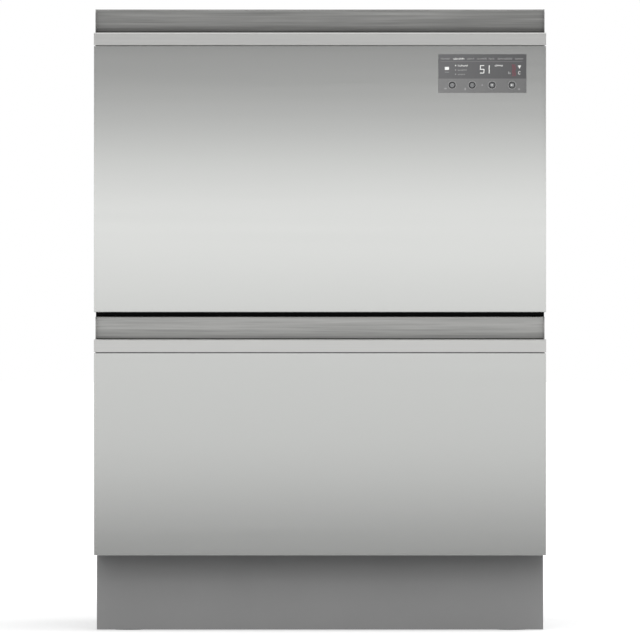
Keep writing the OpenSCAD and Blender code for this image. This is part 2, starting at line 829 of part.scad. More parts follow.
// middle member of a runner: an I section between the other two
module middle_runner(z) {
    end_y = runner_y + runner_len;
    for (low_z = [z - mid_half_h, z + mid_half_h - runner_t])
        block([mid_in_x, runner_y, low_z], [mid_out_x, end_y, low_z + runner_t]);
    block([mid_web_x - runner_t, runner_y, z - mid_half_h], [mid_web_x, end_y, z + mid_half_h]);
}

module middle_runners(base) {
    color("gainsboro") both_sides() middle_runner(base + runner_z);
}

// ---- wash system ----

module filter_plate(base) {
    color([0.70, 0.71, 0.72]) translate([0, tub_mid_y, base + filter_h]) difference() {
        union() {
            cylinder(h = filter_t, r = filter_r);
            cylinder(h = filter_t + 4, r = hub_r + 7);
        }
        translate([0, 0, -1]) cylinder(h = filter_t + 6, r = hub_r + 3);
        translate([drain_x, 0, -1]) cylinder(h = filter_t + 6, r = drain_cup_r + running);
        // rings of drain slots
        for (a = [40 : 20 : 320]) rotate(a) translate([118, 0, -1])
            translate([-14, -2, 0]) cube([28, 4, filter_t + 2]);
    }
}

// round filter cup that hangs in the sump by its flange, with a grip bar across the top
module drain_filter(base) {
    cup_low = sump_bottom_h + tub_wall + 1;
    flange_h = filter_h + filter_t + seat_gap;
    color([0.55, 0.56, 0.58]) translate([drain_x, tub_mid_y, base]) difference() {
        union() {
            translate([0, 0, cup_low]) cylinder(h = flange_h - cup_low + 1, r = drain_cup_r);
            translate([0, 0, flange_h]) cylinder(h = 3.5, r = drain_filter_r);
        }
        translate([0, 0, cup_low + 1.6]) difference() {
            cylinder(h = flange_h, r = drain_cup_r - 1.6);
            // grip bar
            block([-3, -drain_filter_r, flange_h - cup_low - 4], [3, drain_filter_r, flange_h]);
        }
        // slots round the cup
        for (a = [0 : 30 : 330]) rotate(a)
            block([drain_cup_r - 4, -1.5, cup_low + 6], [drain_cup_r + 1, 1.5, filter_h - 4]);
    }
}

module spray_arm(base) {
    z = base + spray_h;
    tip_r = 11;
    root_w = 46;
    color([0.60, 0.61, 0.63]) translate([0, tub_mid_y, z]) difference() {
        union() {
            // tapered arm with round tips
            linear_extrude(spray_t) {
                for (s = [-1, 1])
                    translate([s * (spray_r - tip_r), 0]) circle(tip_r);
                polygon([[-spray_r + tip_r, -tip_r], [0, -root_w / 2], [spray_r - tip_r, -tip_r],
                    [spray_r - tip_r, tip_r], [0, root_w / 2], [-spray_r + tip_r, tip_r]]);
            }
            cylinder(h = spray_t + 6, r = 30);
        }
        // bearing on the pump's hub
        translate([0, 0, -1]) cylinder(h = spray_t, r = hub_r + pin_play);
        // spray jets
        for (s = [-1, 1], i = [1 : 5])
            translate([s * (40 + i * 28), s * 3 * (i % 2 ? 1 : -1), spray_t / 2])
                cylinder(h = spray_t, r = 1.8, $fn = 16);
    }
}

module pump_motor(base) {
    top = spray_h + spray_t - 2;
    color([0.30, 0.31, 0.33]) translate([0, tub_mid_y, base]) {
        // stator housing under the sump
        difference() {
            translate([0, 0, 6]) cylinder(h = sump_bottom_h - seat_gap - 6, r = motor_r);
            for (a = [0 : 30 : 330]) rotate(a) translate([motor_r - 4, -3, 5]) cube([6, 6, 18]);
        }
        // pump body inside the sump, and the hub that carries the spray arm
        translate([0, 0, sump_bottom_h - seat_gap - 0.01]) cylinder(h = 14, r = pump_body_r);
        translate([0, 0, sump_bottom_h + 10]) cylinder(h = top - sump_bottom_h - 10, r = hub_r);
    }
}

// ---- basket ----

module thin_x(x0, x1, y, z) {
    bar_x(x0, x1, y, z, thin_wire_r, wire_sides);
}
module thin_y(x, y0, y1, z) {
    bar_y(x, y0, y1, z, thin_wire_r, wire_sides);
}
module thin_z(x, y, z0, z1) {
    bar_z(x, y, z0, z1, thin_wire_r, wire_sides);
}

// evenly spaced places between two limits, at about the pitch asked for
function spread(low, high, pitch) =
    let (n = max(1, round((high - low) / pitch))) [for (i = [0 : n]) low + (high - low) * i / n];

floor_in = frame_wire_r + seat_gap;
basket_foot_r = 5;

basket_xs = spread(-basket_half + 30, basket_half - 30, grid_pitch);
basket_ys = spread(basket_front_y + 30, basket_rear_y - 30, grid_pitch);

// floor grid with its feet: wires along X with wires along Y welded on top
module basket_floor() {
    z = basket_floor_h;
    for (y = basket_ys) thin_x(-basket_half + floor_in, basket_half - floor_in, y, z);
    for (x = basket_xs)
        thin_y(x, basket_front_y + floor_in, basket_rear_y - floor_in, cross_h);
    // plastic feet that stand on the tub's floor, under the wires
    for (x = [basket_xs[0], basket_xs[len(basket_xs) - 1]],
        y = [basket_ys[0], basket_ys[len(basket_ys) - 1]])
        bar_z(x, y, floor_h + seat_gap, z - thin_wire_r - seat_gap, basket_foot_r);
}

// one side of the basket, drawn in the XZ plane along X and centred
module basket_side(half) {
    z0 = basket_floor_h;
    z1 = basket_top_h;
    bar_x(-half, half, 0, z1, frame_wire_r, wire_sides);
    bar_x(-half, half, 0, z0, frame_wire_r, wire_sides);
    bar_x(-half, half, 0, (z0 + z1) / 2, thin_wire_r, wire_sides);
    for (x = spread(-half + frame_wire_r, half - frame_wire_r, grid_pitch))
        thin_z(x, 0, z0, z1);
}

module fixed_tine_row(x, y0, y1) {
    thin_y(x, y0, y1, fixed_rod_h);
    for (y = spread(y0 + 6, y1 - 6, tine_pitch)) thin_z(x, y, fixed_rod_h, fixed_rod_h + tine_h);
}

// clip that holds a turning rod, with its foot at z0 and the rod at z
module rod_clip(x, y, z0, z) {
    difference() {
        union() {
            block([x - clip_r, y - 3, z0], [x + clip_r, y + 3, z]);
            bar_y(x, y - 3, y + 3, z, clip_r);
        }
        bar_y(x, y - 4, y + 4, z, thin_wire_r + pin_play);
    }
}

module basket(base) {
    mid_y = (basket_front_y + basket_rear_y) / 2;
    half_len = (basket_rear_y - basket_front_y) / 2;
    color([0.62, 0.64, 0.66]) translate([0, 0, base]) {
        basket_floor();
        for (y = [basket_front_y, basket_rear_y]) translate([0, y, 0]) basket_side(basket_half);
        for (x = [-basket_half, basket_half]) translate([x, mid_y, 0]) rotate([0, 0, 90])
            basket_side(half_len - frame_wire_r - seat_gap);
        for (x = tine_rows)
            fixed_tine_row(x, row_front_y, row_rear_y);
        // clips of the fold-down tines, on the floor's cross wires
        for (y = [basket_ys[1], basket_ys[len(basket_ys) - 2]])
            rod_clip(fold_row_x, y, basket_floor_h + thin_wire_r + seat_gap, rod_h);
        // brackets of the cup rack, inside the left wall
        for (y = [cup_front_y + 20, cup_rear_y - 20]) difference() {
            block([-basket_half + frame_wire_r + seat_gap, y - 4, cup_rack_h - clip_r],
                [cup_rack_x + clip_r, y + 4, cup_rack_h + clip_r]);
            bar_y(cup_rack_x, y - 5, y + 5, cup_rack_h, thin_wire_r + pin_play);
        }
    }
}

// fold-down row of plate tines, turning on its rod
module tine_row(base) {
    color([0.35, 0.45, 0.55]) translate([fold_row_x, 0, base + rod_h]) {
        thin_y(0, row_front_y, row_rear_y, 0);
        for (y = spread(row_front_y + 6, row_rear_y - 6, tine_pitch)) thin_z(0, y, 0, tine_h);
    }
}

cup_rack_h = basket_top_h - 4;
cup_rack_x = -basket_half + frame_wire_r + clip_r + seat_gap;
cup_front_y = basket_front_y + 60;
cup_rear_y = basket_rear_y - 40;

// fold-up shelf for cups on the left side of the basket
module cup_rack(base) {
    color([0.62, 0.64, 0.66]) translate([cup_rack_x, 0, base + cup_rack_h]) {
        thin_y(0, cup_front_y, cup_rear_y, 0);
        thin_y(cup_rack_w, cup_front_y, cup_rear_y, 0);
        for (y = spread(cup_front_y + 8, cup_rear_y - 8, grid_pitch))
            thin_x(0, cup_rack_w, y, 0);
    }
}

cutlery_wall = 2.4;
cutlery_slot = 8;
cutlery_skirt = 14;
cutlery_band = 16;

// one slotted panel of the cutlery basket, standing in the XZ plane and centred along X
module cutlery_panel(half) {
    difference() {
        block([-half, 0, cutlery_wall + seat_gap], [half, cutlery_wall, cutlery_h]);
        for (x = spread(-half + cutlery_band, half - cutlery_band, cutlery_slot + 10))
            block([x - cutlery_slot / 2, -1, cutlery_skirt],
                [x + cutlery_slot / 2, cutlery_wall + 1, cutlery_h - cutlery_band]);
    }
}

// open-topped box clipped together from a base, four slotted panels and a divider
module cutlery_basket(base) {
    hw = cutlery_w / 2;
    hl = cutlery_len / 2;
    inside = cutlery_wall + seat_gap;
    color([0.55, 0.58, 0.60]) translate([cutlery_x, cutlery_y, base + cutlery_bottom_h]) {
        block([-hw, -hl, 0], [hw, hl, cutlery_wall]);
        translate([0, -hl, 0]) cutlery_panel(hw);
        translate([0, hl - cutlery_wall, 0]) cutlery_panel(hw);
        for (s = [-1, 1]) translate([s * (hw - cutlery_wall / 2) + cutlery_wall / 2, 0, 0])
            rotate([0, 0, 90]) cutlery_panel(hl - inside);
        block([-hw + inside, -cutlery_wall / 2, cutlery_wall + seat_gap],
            [hw - inside, cutlery_wall / 2, cutlery_h]);
    }
}

// ---- dispenser ----

cup_in = 5;

module dispenser(base) {
    y_back = tub_front_y - 6;
    color([0.80, 0.81, 0.82]) translate([0, 0, base]) difference() {
        union() {
            block([dispenser_x - dispenser_w / 2, tub_front_y + tub_wall + seat_gap, dispenser_bottom_h],
                [dispenser_x + dispenser_w / 2, dispenser_y, dispenser_top_h]);
            // body that passes through the tub's front wall
            block([dispenser_x - dispenser_w / 2 + 9, y_back, dispenser_bottom_h + 7],
                [dispenser_x + dispenser_w / 2 - 9, tub_front_y + tub_wall + 1, dispenser_top_h - 7]);
        }
        // detergent cup
        block([door_x - door_w / 2 + cup_in, y_back + 2, door_bottom_h + cup_in],
            [door_x + door_w / 2 - cup_in, dispenser_y + 1, door_bottom_h + door_h - cup_in]);
        // seat of the rinse aid cap
        bar_y(cap_x, dispenser_y - 7, dispenser_y + 1, cap_h, cap_r - 4 + pin_play);
    }
}

module detergent_door(base) {
    color([0.70, 0.72, 0.74]) translate([door_x, dispenser_y + running, base + door_bottom_h]) {
        block([-door_w / 2, 0, 0], [door_w / 2, door_t, door_h]);
        // hinge barrel along the lower edge
        bar_x(-door_w / 2, door_w / 2, door_t / 2 + 0.6, 0, 2.1);
        // thumb catch
        block([-9, door_t - 0.01, door_h - 9], [9, door_t + 2.4, door_h - 4]);
    }
}

module rinse_cap(base) {
    color([0.35, 0.55, 0.75]) translate([cap_x, dispenser_y + running, base + cap_h]) rotate([-90, 0, 0]) {
        cylinder(h = 4, r = cap_r);
        translate([0, 0, -6]) cylinder(h = 6.01, r = cap_r - 4);
        translate([-cap_r + 4, -2.5, 3.99]) cube([2 * cap_r - 8, 5, 4]);
    }
}

// ---- lid ----

module lid(base) {
    low = [-lid_half, lid_front_y];
    high = [lid_half, lid_rear_y];
    r = tub_corner_r;
    rib_z0 = lid_bottom_h + 1;
    rib_z1 = lid_bottom_h + lid_h - 4;
    color([0.82, 0.83, 0.84]) translate([0, 0, base]) {
        difference() {
            rounded_slab(low, high, r, lid_bottom_h, lid_bottom_h + lid_h);
            rounded_slab(low + [lid_wall, lid_wall], high - [lid_wall, lid_wall], r - lid_wall,
                lid_bottom_h + lid_wall, lid_bottom_h + lid_h + 1);
        }
        // stiffening ribs inside the moulding
        for (x = spread(-lid_half + 60, lid_half - 60, 110))
            block([x - 1.5, lid_front_y + 1, rib_z0], [x + 1.5, lid_rear_y - 1, rib_z1]);
        for (y = spread(lid_front_y + 60, lid_rear_y - 60, 120))
            block([-lid_half + 1, y - 1.5, rib_z0], [lid_half - 1, y + 1.5, rib_z1]);
        // pins that the lifting arms hold
        both_sides() bar_x(lid_half - 1, arm_x + arm_t / 2 + 1, lid_pin_y, lid_pin_h, lid_pin_r);
    }
}

seal_w = 16;

module lid_seal(base) {
    low = [-lid_half - 2, lid_front_y - 1];
    high = [lid_half + 2, lid_rear_y + 2];
    color([0.12, 0.12, 0.12]) translate([0, 0, base]) difference() {
        rounded_slab(low, high, tub_corner_r + 1, seal_bottom_h, lid_bottom_h);
        rounded_slab(low + [seal_w, seal_w], high - [seal_w, seal_w], tub_corner_r - seal_w + 1,
            seal_bottom_h - 1, lid_bottom_h + 1);
    }
}

// lever on each side that swings the lid down onto the tub
module lid_arm() {
    end_r = lid_pin_r + 4.5;
    root_r = arm_pivot_r + 4;
    rotate([90, 0, 90]) linear_extrude(arm_t, center = true) difference() {
        union() {
            circle(root_r);
            rotate(180 - arm_start) {
                translate([arm_len, 0]) circle(end_r);
                polygon([[0, -root_r], [arm_len, -end_r], [arm_len, end_r], [0, root_r]]);
            }
        }
        circle(arm_pivot_r + pin_play);
        // slotted eye for the lid's pin
        rotate(180 - arm_start) for (s = [-1, 0, 1])
            translate([arm_len + s * arm_slot_play, 0]) circle(lid_pin_r + arm_slot_play);
    }
}

module lid_arms(base) {
    color([0.20, 0.20, 0.22]) both_sides()
        translate([arm_x, arm_pivot_y, base + arm_pivot_h]) lid_arm();
}

// ---- what each node draws ----

mirror([1, 0, 0]) side_panel();  // left_side_panel
side_panel();  // right_side_panel
rear_panel();
top_panel();
base_pan();
front_trim();
leg_beams();
levelling_feet();
kick_strip();
chassis_runners();
lid_actuators();
service_panel();
inlet_valve();
screws();
display_fascia();
control_module();
push_button(0);  // button_power
push_button(1);  // button_programme
push_button(2);  // button_option
push_button(3);  // button_start

upper_front_panel();
handle(upper_top);  // upper_handle
front_plate(upper_bottom, upper_top - handle_rise - groove_depth - 6, upper_base);  // upper_front_plate
tub(upper_base);  // upper_tub
drawer_runners(upper_base);  // upper_drawer_runners
middle_runners(upper_base);  // upper_middle_runners
filter_plate(upper_base);  // upper_filter_plate
drain_filter(upper_base);  // upper_drain_filter
spray_arm(upper_base);  // upper_spray_arm
pump_motor(upper_base);  // upper_pump_motor
basket(upper_base);  // upper_basket
tine_row(upper_base);  // upper_tine_row
cup_rack(upper_base);  // upper_cup_rack
cutlery_basket(upper_base);  // upper_cutlery_basket
dispenser(upper_base);  // upper_dispenser
detergent_door(upper_base);  // upper_detergent_door
rinse_cap(upper_base);  // upper_rinse_cap
lid(upper_base);  // upper_lid
lid_seal(upper_base);  // upper_lid_seal
lid_arms(upper_base);  // upper_lid_arms

lower_front_panel();
handle(lower_top);  // lower_handle
front_plate(lower_bottom, lower_top - handle_rise - groove_depth - 6, lower_base);  // lower_front_plate
tub(lower_base);  // lower_tub
drawer_runners(lower_base);  // lower_drawer_runners
middle_runners(lower_base);  // lower_middle_runners
filter_plate(lower_base);  // lower_filter_plate
drain_filter(lower_base);  // lower_drain_filter
spray_arm(lower_base);  // lower_spray_arm
pump_motor(lower_base);  // lower_pump_motor
basket(lower_base);  // lower_basket
tine_row(lower_base);  // lower_tine_row
cup_rack(lower_base);  // lower_cup_rack
cutlery_basket(lower_base);  // lower_cutlery_basket
dispenser(lower_base);  // lower_dispenser
detergent_door(lower_base);  // lower_detergent_door
rinse_cap(lower_base);  // lower_rinse_cap
lid(lower_base);  // lower_lid
lid_seal(lower_base);  // lower_lid_seal
lid_arms(lower_base);  // lower_lid_arms
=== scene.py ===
import json
import math
import random

import bmesh
import bpy
from mathutils import Matrix, Vector


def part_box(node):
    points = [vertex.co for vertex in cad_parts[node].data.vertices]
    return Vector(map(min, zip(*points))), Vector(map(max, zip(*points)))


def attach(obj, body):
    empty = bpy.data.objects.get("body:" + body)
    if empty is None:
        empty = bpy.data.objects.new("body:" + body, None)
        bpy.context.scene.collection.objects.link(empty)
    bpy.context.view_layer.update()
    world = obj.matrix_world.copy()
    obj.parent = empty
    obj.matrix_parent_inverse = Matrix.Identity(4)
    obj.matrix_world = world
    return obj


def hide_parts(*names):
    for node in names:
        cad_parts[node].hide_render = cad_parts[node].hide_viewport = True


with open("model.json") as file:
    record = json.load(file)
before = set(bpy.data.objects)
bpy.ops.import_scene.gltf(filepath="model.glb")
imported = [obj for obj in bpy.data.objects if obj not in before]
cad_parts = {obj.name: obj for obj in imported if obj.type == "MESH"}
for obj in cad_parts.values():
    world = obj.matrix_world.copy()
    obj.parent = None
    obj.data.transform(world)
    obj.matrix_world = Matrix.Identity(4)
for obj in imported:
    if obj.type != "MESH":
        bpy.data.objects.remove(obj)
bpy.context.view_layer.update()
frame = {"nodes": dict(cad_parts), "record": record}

scene = bpy.context.scene
mm = 0.001  # pieces are modelled in millimetres and brought to metres when they are finished
sides = ("upper", "lower")
units = Matrix.Identity(3)
upright = Matrix.Rotation(math.radians(90), 4, "X")
near = 0.01  # places closer than this count as the same
bodyOf = {node: body for body, nodes in frame["record"]["behaviour"]["bodies"].items() for node in nodes}
print("frame loaded:", len(frame["nodes"]), "nodes")


# small tools

def linear(hexText):
    # sRGB hex to a linear colour
    channels = [int(hexText[i:i + 2], 16) / 255 for i in (1, 3, 5)]
    return tuple(c / 12.92 if c < 0.04045 else ((c + 0.055) / 1.055) ** 2.4 for c in channels) + (1.0,)


def addNode(tree, kind, settings=None, inputs=None):
    # adds a node, sets its properties, and fills or links its inputs
    node = tree.nodes.new("ShaderNode" + kind)
    for name, value in (settings or {}).items():
        if name == "stops":
            ramp = node.color_ramp
            while len(ramp.elements) < len(value):
                ramp.elements.new(0.5)
            for element, (place, colour) in zip(ramp.elements, value):
                element.position, element.color = place, colour
        else:
            setattr(node, name, value)
    for name, value in (inputs or {}).items():
        if isinstance(value, bpy.types.NodeSocket):
            tree.links.new(value, node.inputs[name])
        else:
            node.inputs[name].default_value = value
    return node


def emptyTree(owner):
    owner.use_nodes = True
    owner.node_tree.nodes.clear()
    return owner.node_tree


def newMaterial(name, settings):
    # a material with its output, one Principled shader and the object's coordinates
    material = bpy.data.materials.new(name)
    tree = emptyTree(material)
    shader = addNode(tree, "BsdfPrincipled", inputs=settings)
    addNode(tree, "OutputMaterial", inputs={"Surface": shader.outputs[0]})
    return material, tree, shader, addNode(tree, "TexCoord").outputs["Object"]


def cadSize(node):
    # a CAD node's corners, in millimetres
    low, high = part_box(node)
    return low / mm, high / mm


def only(geom, kind):
    # the verts, edges or faces among what an operator gives back
    return [g for g in geom if isinstance(g, getattr(bmesh.types, kind))]


def edgesOf(verts):
    return list({edge for vert in verts for edge in vert.link_edges})


def edgesWhere(bm, test, boundary=False):
    # edges whose ends both pass a test on their place
    return [e for e in bm.edges if (e.is_boundary or not boundary) and all(test(v.co) for v in e.verts)]


def foldsOf(bm, angle=1.0, test=lambda place: True):
    # edges where two faces meet at more than an angle
    return [e for e in edgesWhere(bm, test) if len(e.link_faces) == 2 and e.calc_face_angle(0) > angle]


def roundEdges(bm, edges, width, segments=3, affect="EDGES"):
    bmesh.ops.bevel(bm, geom=list(edges), offset=width, offset_type="OFFSET", segments=segments, profile=0.5,
                    affect=affect, clamp_overlap=True, material=-1)


def roundedBox(bm, low, high, radius=0, segments=2):
    # a box between two corners, its edges rounded if a radius is given
    low, high = Vector(low), Vector(high)
    place = Matrix.Translation((low + high) / 2) @ Matrix.Diagonal((*(high - low), 1))
    verts = bmesh.ops.create_cube(bm, size=1, matrix=place)["verts"]
    if radius:
        roundEdges(bm, edgesOf(verts), radius, segments)
    return verts


def addBar(bm, start, end, radius, segments=24):
    # a round bar between two points
    start, end = Vector(start), Vector(end)
    turn = (end - start).to_track_quat("Z", "Y").to_matrix().to_4x4()
    return bmesh.ops.create_cone(
        bm, cap_ends=True, segments=segments, radius1=radius, radius2=radius, depth=(end - start).length,
        matrix=Matrix.Translation((start + end) / 2) @ turn)["verts"]


def drawOut(bm, edges, move):
    # walls drawn out of open edges
    drawn = bmesh.ops.extrude_edge_only(bm, edges=edges)["geom"]
    bmesh.ops.translate(bm, verts=only(drawn, "BMVert"), vec=move)
    return only(drawn, "BMEdge")


def drawFaces(bm, faces, move):
    drawn = bmesh.ops.extrude_face_region(bm, geom=faces)["geom"]
    bmesh.ops.translate(bm, verts=only(drawn, "BMVert"), vec=move)


def sweepOutline(bm, outline, rounds, x0, x1):
    # a (y, z) outline whose corners are rounded, drawn out along X
    verts = [bm.verts.new((x0, y, z)) for y, z in outline]
    bm.faces.new(verts)
    for index, (radius, segments) in sorted(rounds.items(), reverse=True):
        roundEdges(bm, [verts[index]], radius, segments, "VERTICES")
    face = [f for f in bm.faces if all(abs(v.co.x - x0) < 1e-4 for v in f.verts)][-1]
    drawFaces(bm, [face], (x1 - x0, 0, 0))


def turnedProfile(bm, points, centre, axis=(0, 0, 1), segments=32):
    # a profile of (radius, height) points spun round an axis through the centre
    axis = Vector(axis)
    place = Matrix.Translation(centre) @ axis.to_track_quat("Z", "Y").to_matrix().to_4x4()
    verts = [bm.verts.new(place @ Vector((r, 0, h))) for r, h in points]
    edges = [bm.edges.new(pair) for pair in zip(verts, verts[1:])]
    bmesh.ops.spin(bm, geom=verts + edges, cent=centre, axis=axis, angle=2 * math.pi, steps=segments,
                   use_merge=True, use_duplicate=False)


def addPlate(bm, low, high, height=0.0, place=Matrix()):
    # one level rectangle, then put in its place
    size = Matrix.Translation(((low[0] + high[0]) / 2, (low[1] + high[1]) / 2, height)) @ Matrix.Diagonal(
        (high[0] - low[0], high[1] - low[1], 1, 1))
    return bmesh.ops.create_grid(bm, x_segments=1, y_segments=1, size=0.5, matrix=place @ size)["verts"]


def fillPlate(bm, y, rectangles, circles):
    # an upright plate: the first rectangle is its outline, the other shapes are openings
    edges = []
    for x0, z0, x1, z1 in rectangles:
        verts = [bm.verts.new((x, y, z)) for x, z in ((x0, z0), (x1, z0), (x1, z1), (x0, z1))]
        edges += [bm.edges.new(pair) for pair in zip(verts, verts[1:] + verts[:1])]
    for x, z, radius in circles:
        edges += edgesOf(bmesh.ops.create_circle(bm, cap_ends=False, radius=radius, segments=40,
                                                 matrix=Matrix.Translation((x, y, z)) @ upright)["verts"])
    return only(bmesh.ops.triangle_fill(bm, edges=edges, use_beauty=True, use_dissolve=False)["geom"], "BMFace")


def roundedLoop(bm, low, high, radius, height, segments=12):
    # the edges of a level rectangle with round corners
    roundEdges(bm, addPlate(bm, low, high, height), radius, segments, "VERTICES")
    face = [f for f in bm.faces if all(abs(v.co.z - height) < 1e-4 for v in f.verts)
            and len(f.verts) == 4 * (segments + 1)][-1]
    edges = list(face.edges)
    bmesh.ops.delete(bm, geom=[face], context="FACES_ONLY")
    return edges


def bridgeAll(bm, loops):
    # walls between each loop and the next
    for first, second in zip(loops, loops[1:]):
        bmesh.ops.bridge_loops(bm, edges=first + second)


def cutPlane(bm, faces, axis, spot):
    # cuts the faces where they cross a plane square to an axis
    edges = {e for f in faces for e in f.edges}
    verts = {v for f in faces for v in f.verts}
    bmesh.ops.bisect_plane(bm, geom=faces + list(edges) + list(verts), dist=1e-4,
                           plane_co=units[axis] * spot, plane_no=units[axis])


def facesWithin(bm, rectangles, axes, test=lambda face: True):
    # faces that pass the test with their middle inside one of the (low, low, high, high) rectangles
    def inside(spot):
        return any(all(r[i] < spot[axes[i]] < r[i + 2] for i in (0, 1)) for r in rectangles)

    return [f for f in bm.faces if test(f) and inside(f.calc_center_median())]


def openWindow(bm, window, axes, test):
    # cuts the faces that pass the test along a rectangle's sides, and takes out those inside it
    for i in (0, 2, 1, 3):
        cutPlane(bm, [f for f in bm.faces if test(f)], axes[i % 2], window[i])
    bmesh.ops.delete(bm, geom=facesWithin(bm, [window], axes, test), context="FACES")


def turnOut(bm, axis, way, faces=None):
    # reverses every face if the largest of them points the wrong way
    if max(faces or bm.faces, key=lambda f: f.calc_area()).normal[axis] * way < 0:
        bmesh.ops.reverse_faces(bm, faces=bm.faces)


def bentPath(corners, bend, steps=5, closed=False):
    # the path through the corners, turned on a radius at each of them
    corners = [Vector(c) for c in corners]
    count = len(corners)
    path = []
    for i, corner in enumerate(corners):
        if not closed and i in (0, count - 1):
            path.append(corner)
            continue
        back = (corners[i - 1] - corner).normalized()
        on = (corners[(i + 1) % count] - corner).normalized()
        half = back.angle(on) / 2
        centre = corner + (back + on).normalized() * bend / math.sin(half)
        start = corner + back * bend / math.tan(half) - centre
        turn = start.rotation_difference(corner + on * bend / math.tan(half) - centre)
        for step in range(steps + 1):
            part = turn.copy()
            part.angle = turn.angle * step / steps
            path.append(centre + part @ start)
    return path


def addWires(bm, wires, radius, resolution=2):
    # round wires along paths: each is (points, closed, roundTip)
    curve = bpy.data.curves.new("wires", "CURVE")
    curve.dimensions = "3D"
    curve.bevel_depth, curve.bevel_resolution = radius, resolution
    curve.use_fill_caps = True
    for points, closed, roundTip in wires:
        points = [Vector(p) for p in points]
        widths = [1.0] * len(points)
        if roundTip:
            end = points[-1]
            back = (points[-2] - end).normalized() * radius
            points[-1:] = [end + back, end + back * 0.3, end]
            widths[-1:] = [1.0, 0.72, 0.25]
        spline = curve.splines.new("POLY")
        spline.points.add(len(points) - 1)
        for point, co, width in zip(spline.points, points, widths):
            point.co, point.radius = (*co, 1), width
        spline.use_cyclic_u = closed
    holder = bpy.data.objects.new("wires", curve)
    mesh = bpy.data.meshes.new_from_object(holder)
    bm.from_mesh(mesh)
    bpy.data.meshes.remove(mesh)
    bpy.data.objects.remove(holder)
    bpy.data.curves.remove(curve)


def finishPiece(bm, name, body, material, nodes=(), angle=35, merge=0.002, wall=0, turn=True):
    # merges, points the faces outwards, brings the mesh to metres and hangs the piece on its body
    bmesh.ops.remove_doubles(bm, verts=bm.verts, dist=merge)
    if turn and not wall:
        bmesh.ops.recalc_face_normals(bm, faces=bm.faces)
    bmesh.ops.scale(bm, vec=(mm, mm, mm), verts=bm.verts)
    unwrap = bm.loops.layers.uv.new("sheetMap")
    for face in bm.faces:
        face.smooth = True
        axis = max(range(3), key=lambda i: abs(face.normal[i]))
        u, v = ((1, 2), (0, 2), (0, 1))[axis]
        for loop in face.loops:
            loop[unwrap].uv = (loop.vert.co[u], loop.vert.co[v])
    mesh = bpy.data.meshes.new(name)
    bm.to_mesh(mesh)
    rims = [edge.index for edge in bm.edges if edge.is_boundary]
    bm.free()
    mesh.set_sharp_from_angle(angle=math.radians(angle))
    if rims:
        # a thickened sheet keeps crisp cut edges
        sharp = mesh.attributes.get("sharp_edge") or mesh.attributes.new("sharp_edge", "BOOLEAN", "EDGE")
        for index in rims:
            sharp.data[index].value = True
    mesh.materials.append(material)
    piece = bpy.data.objects.new(name, mesh)
    scene.collection.objects.link(piece)
    if wall:
        # the wall of a sheet or moulding grows on its inner side
        solid = piece.modifiers.new("Solidify", "SOLIDIFY")
        solid.thickness, solid.offset, solid.use_even_offset = wall * mm, -1.0, True
    piece.modifiers.new("Weighted Normal", "WEIGHTED_NORMAL").keep_sharp = True
    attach(piece, body)
    if nodes:
        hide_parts(*nodes)


def softenedCopy(node, material, width):
    # a merged copy of a CAD node whose sharp edges are broken, to stand in its place
    bm = bmesh.new()
    bm.from_mesh(frame["nodes"][node].data)
    bmesh.ops.scale(bm, vec=(1 / mm, 1 / mm, 1 / mm), verts=bm.verts)
    bmesh.ops.remove_doubles(bm, verts=bm.verts, dist=0.002)
    bmesh.ops.dissolve_limit(bm, angle_limit=math.radians(0.5), verts=bm.verts, edges=bm.edges)
    roundEdges(bm, foldsOf(bm, math.radians(30)), width, 2)
    finishPiece(bm, node + "_softened", bodyOf[node], material, [node], merge=0.0005, turn=False)


# materials: each pattern is sized from the real surface, in millimetres

mixColours = {"data_type": "RGBA"}
multiply = {"data_type": "RGBA", "blend_type": "MULTIPLY"}
noiseSpan = (0.3, 0.7)  # noise mostly keeps between these levels
wholeSpan = (0.0, 1.0)


def dressSkin(tree, shader, colour, tint, gloss=None, relief=None):
    # the colour made paler and darker by a pattern, with an uneven gloss and a fine relief
    # tint and gloss are (pattern, its span, middle, spread), relief is (pattern, strength, depth)
    levels = [addNode(tree, "MapRange", inputs={
        "Value": pattern, "From Min": span[0], "From Max": span[1], "To Min": middle - spread,
        "To Max": middle + spread}).outputs[0] for pattern, span, middle, spread in filter(None, (tint, gloss))]
    shade = addNode(tree, "Mix", multiply, {0: 1.0, 6: colour, 7: levels[0]}).outputs[2]
    tree.links.new(shade, shader.inputs["Base Color"])
    if gloss:
        tree.links.new(levels[1], shader.inputs["Roughness"])
    if relief:
        bump = addNode(tree, "Bump", inputs={"Height": relief[0], "Strength": relief[1], "Distance": relief[2]})
        tree.links.new(bump.outputs[0], shader.inputs["Normal"])
    return shade


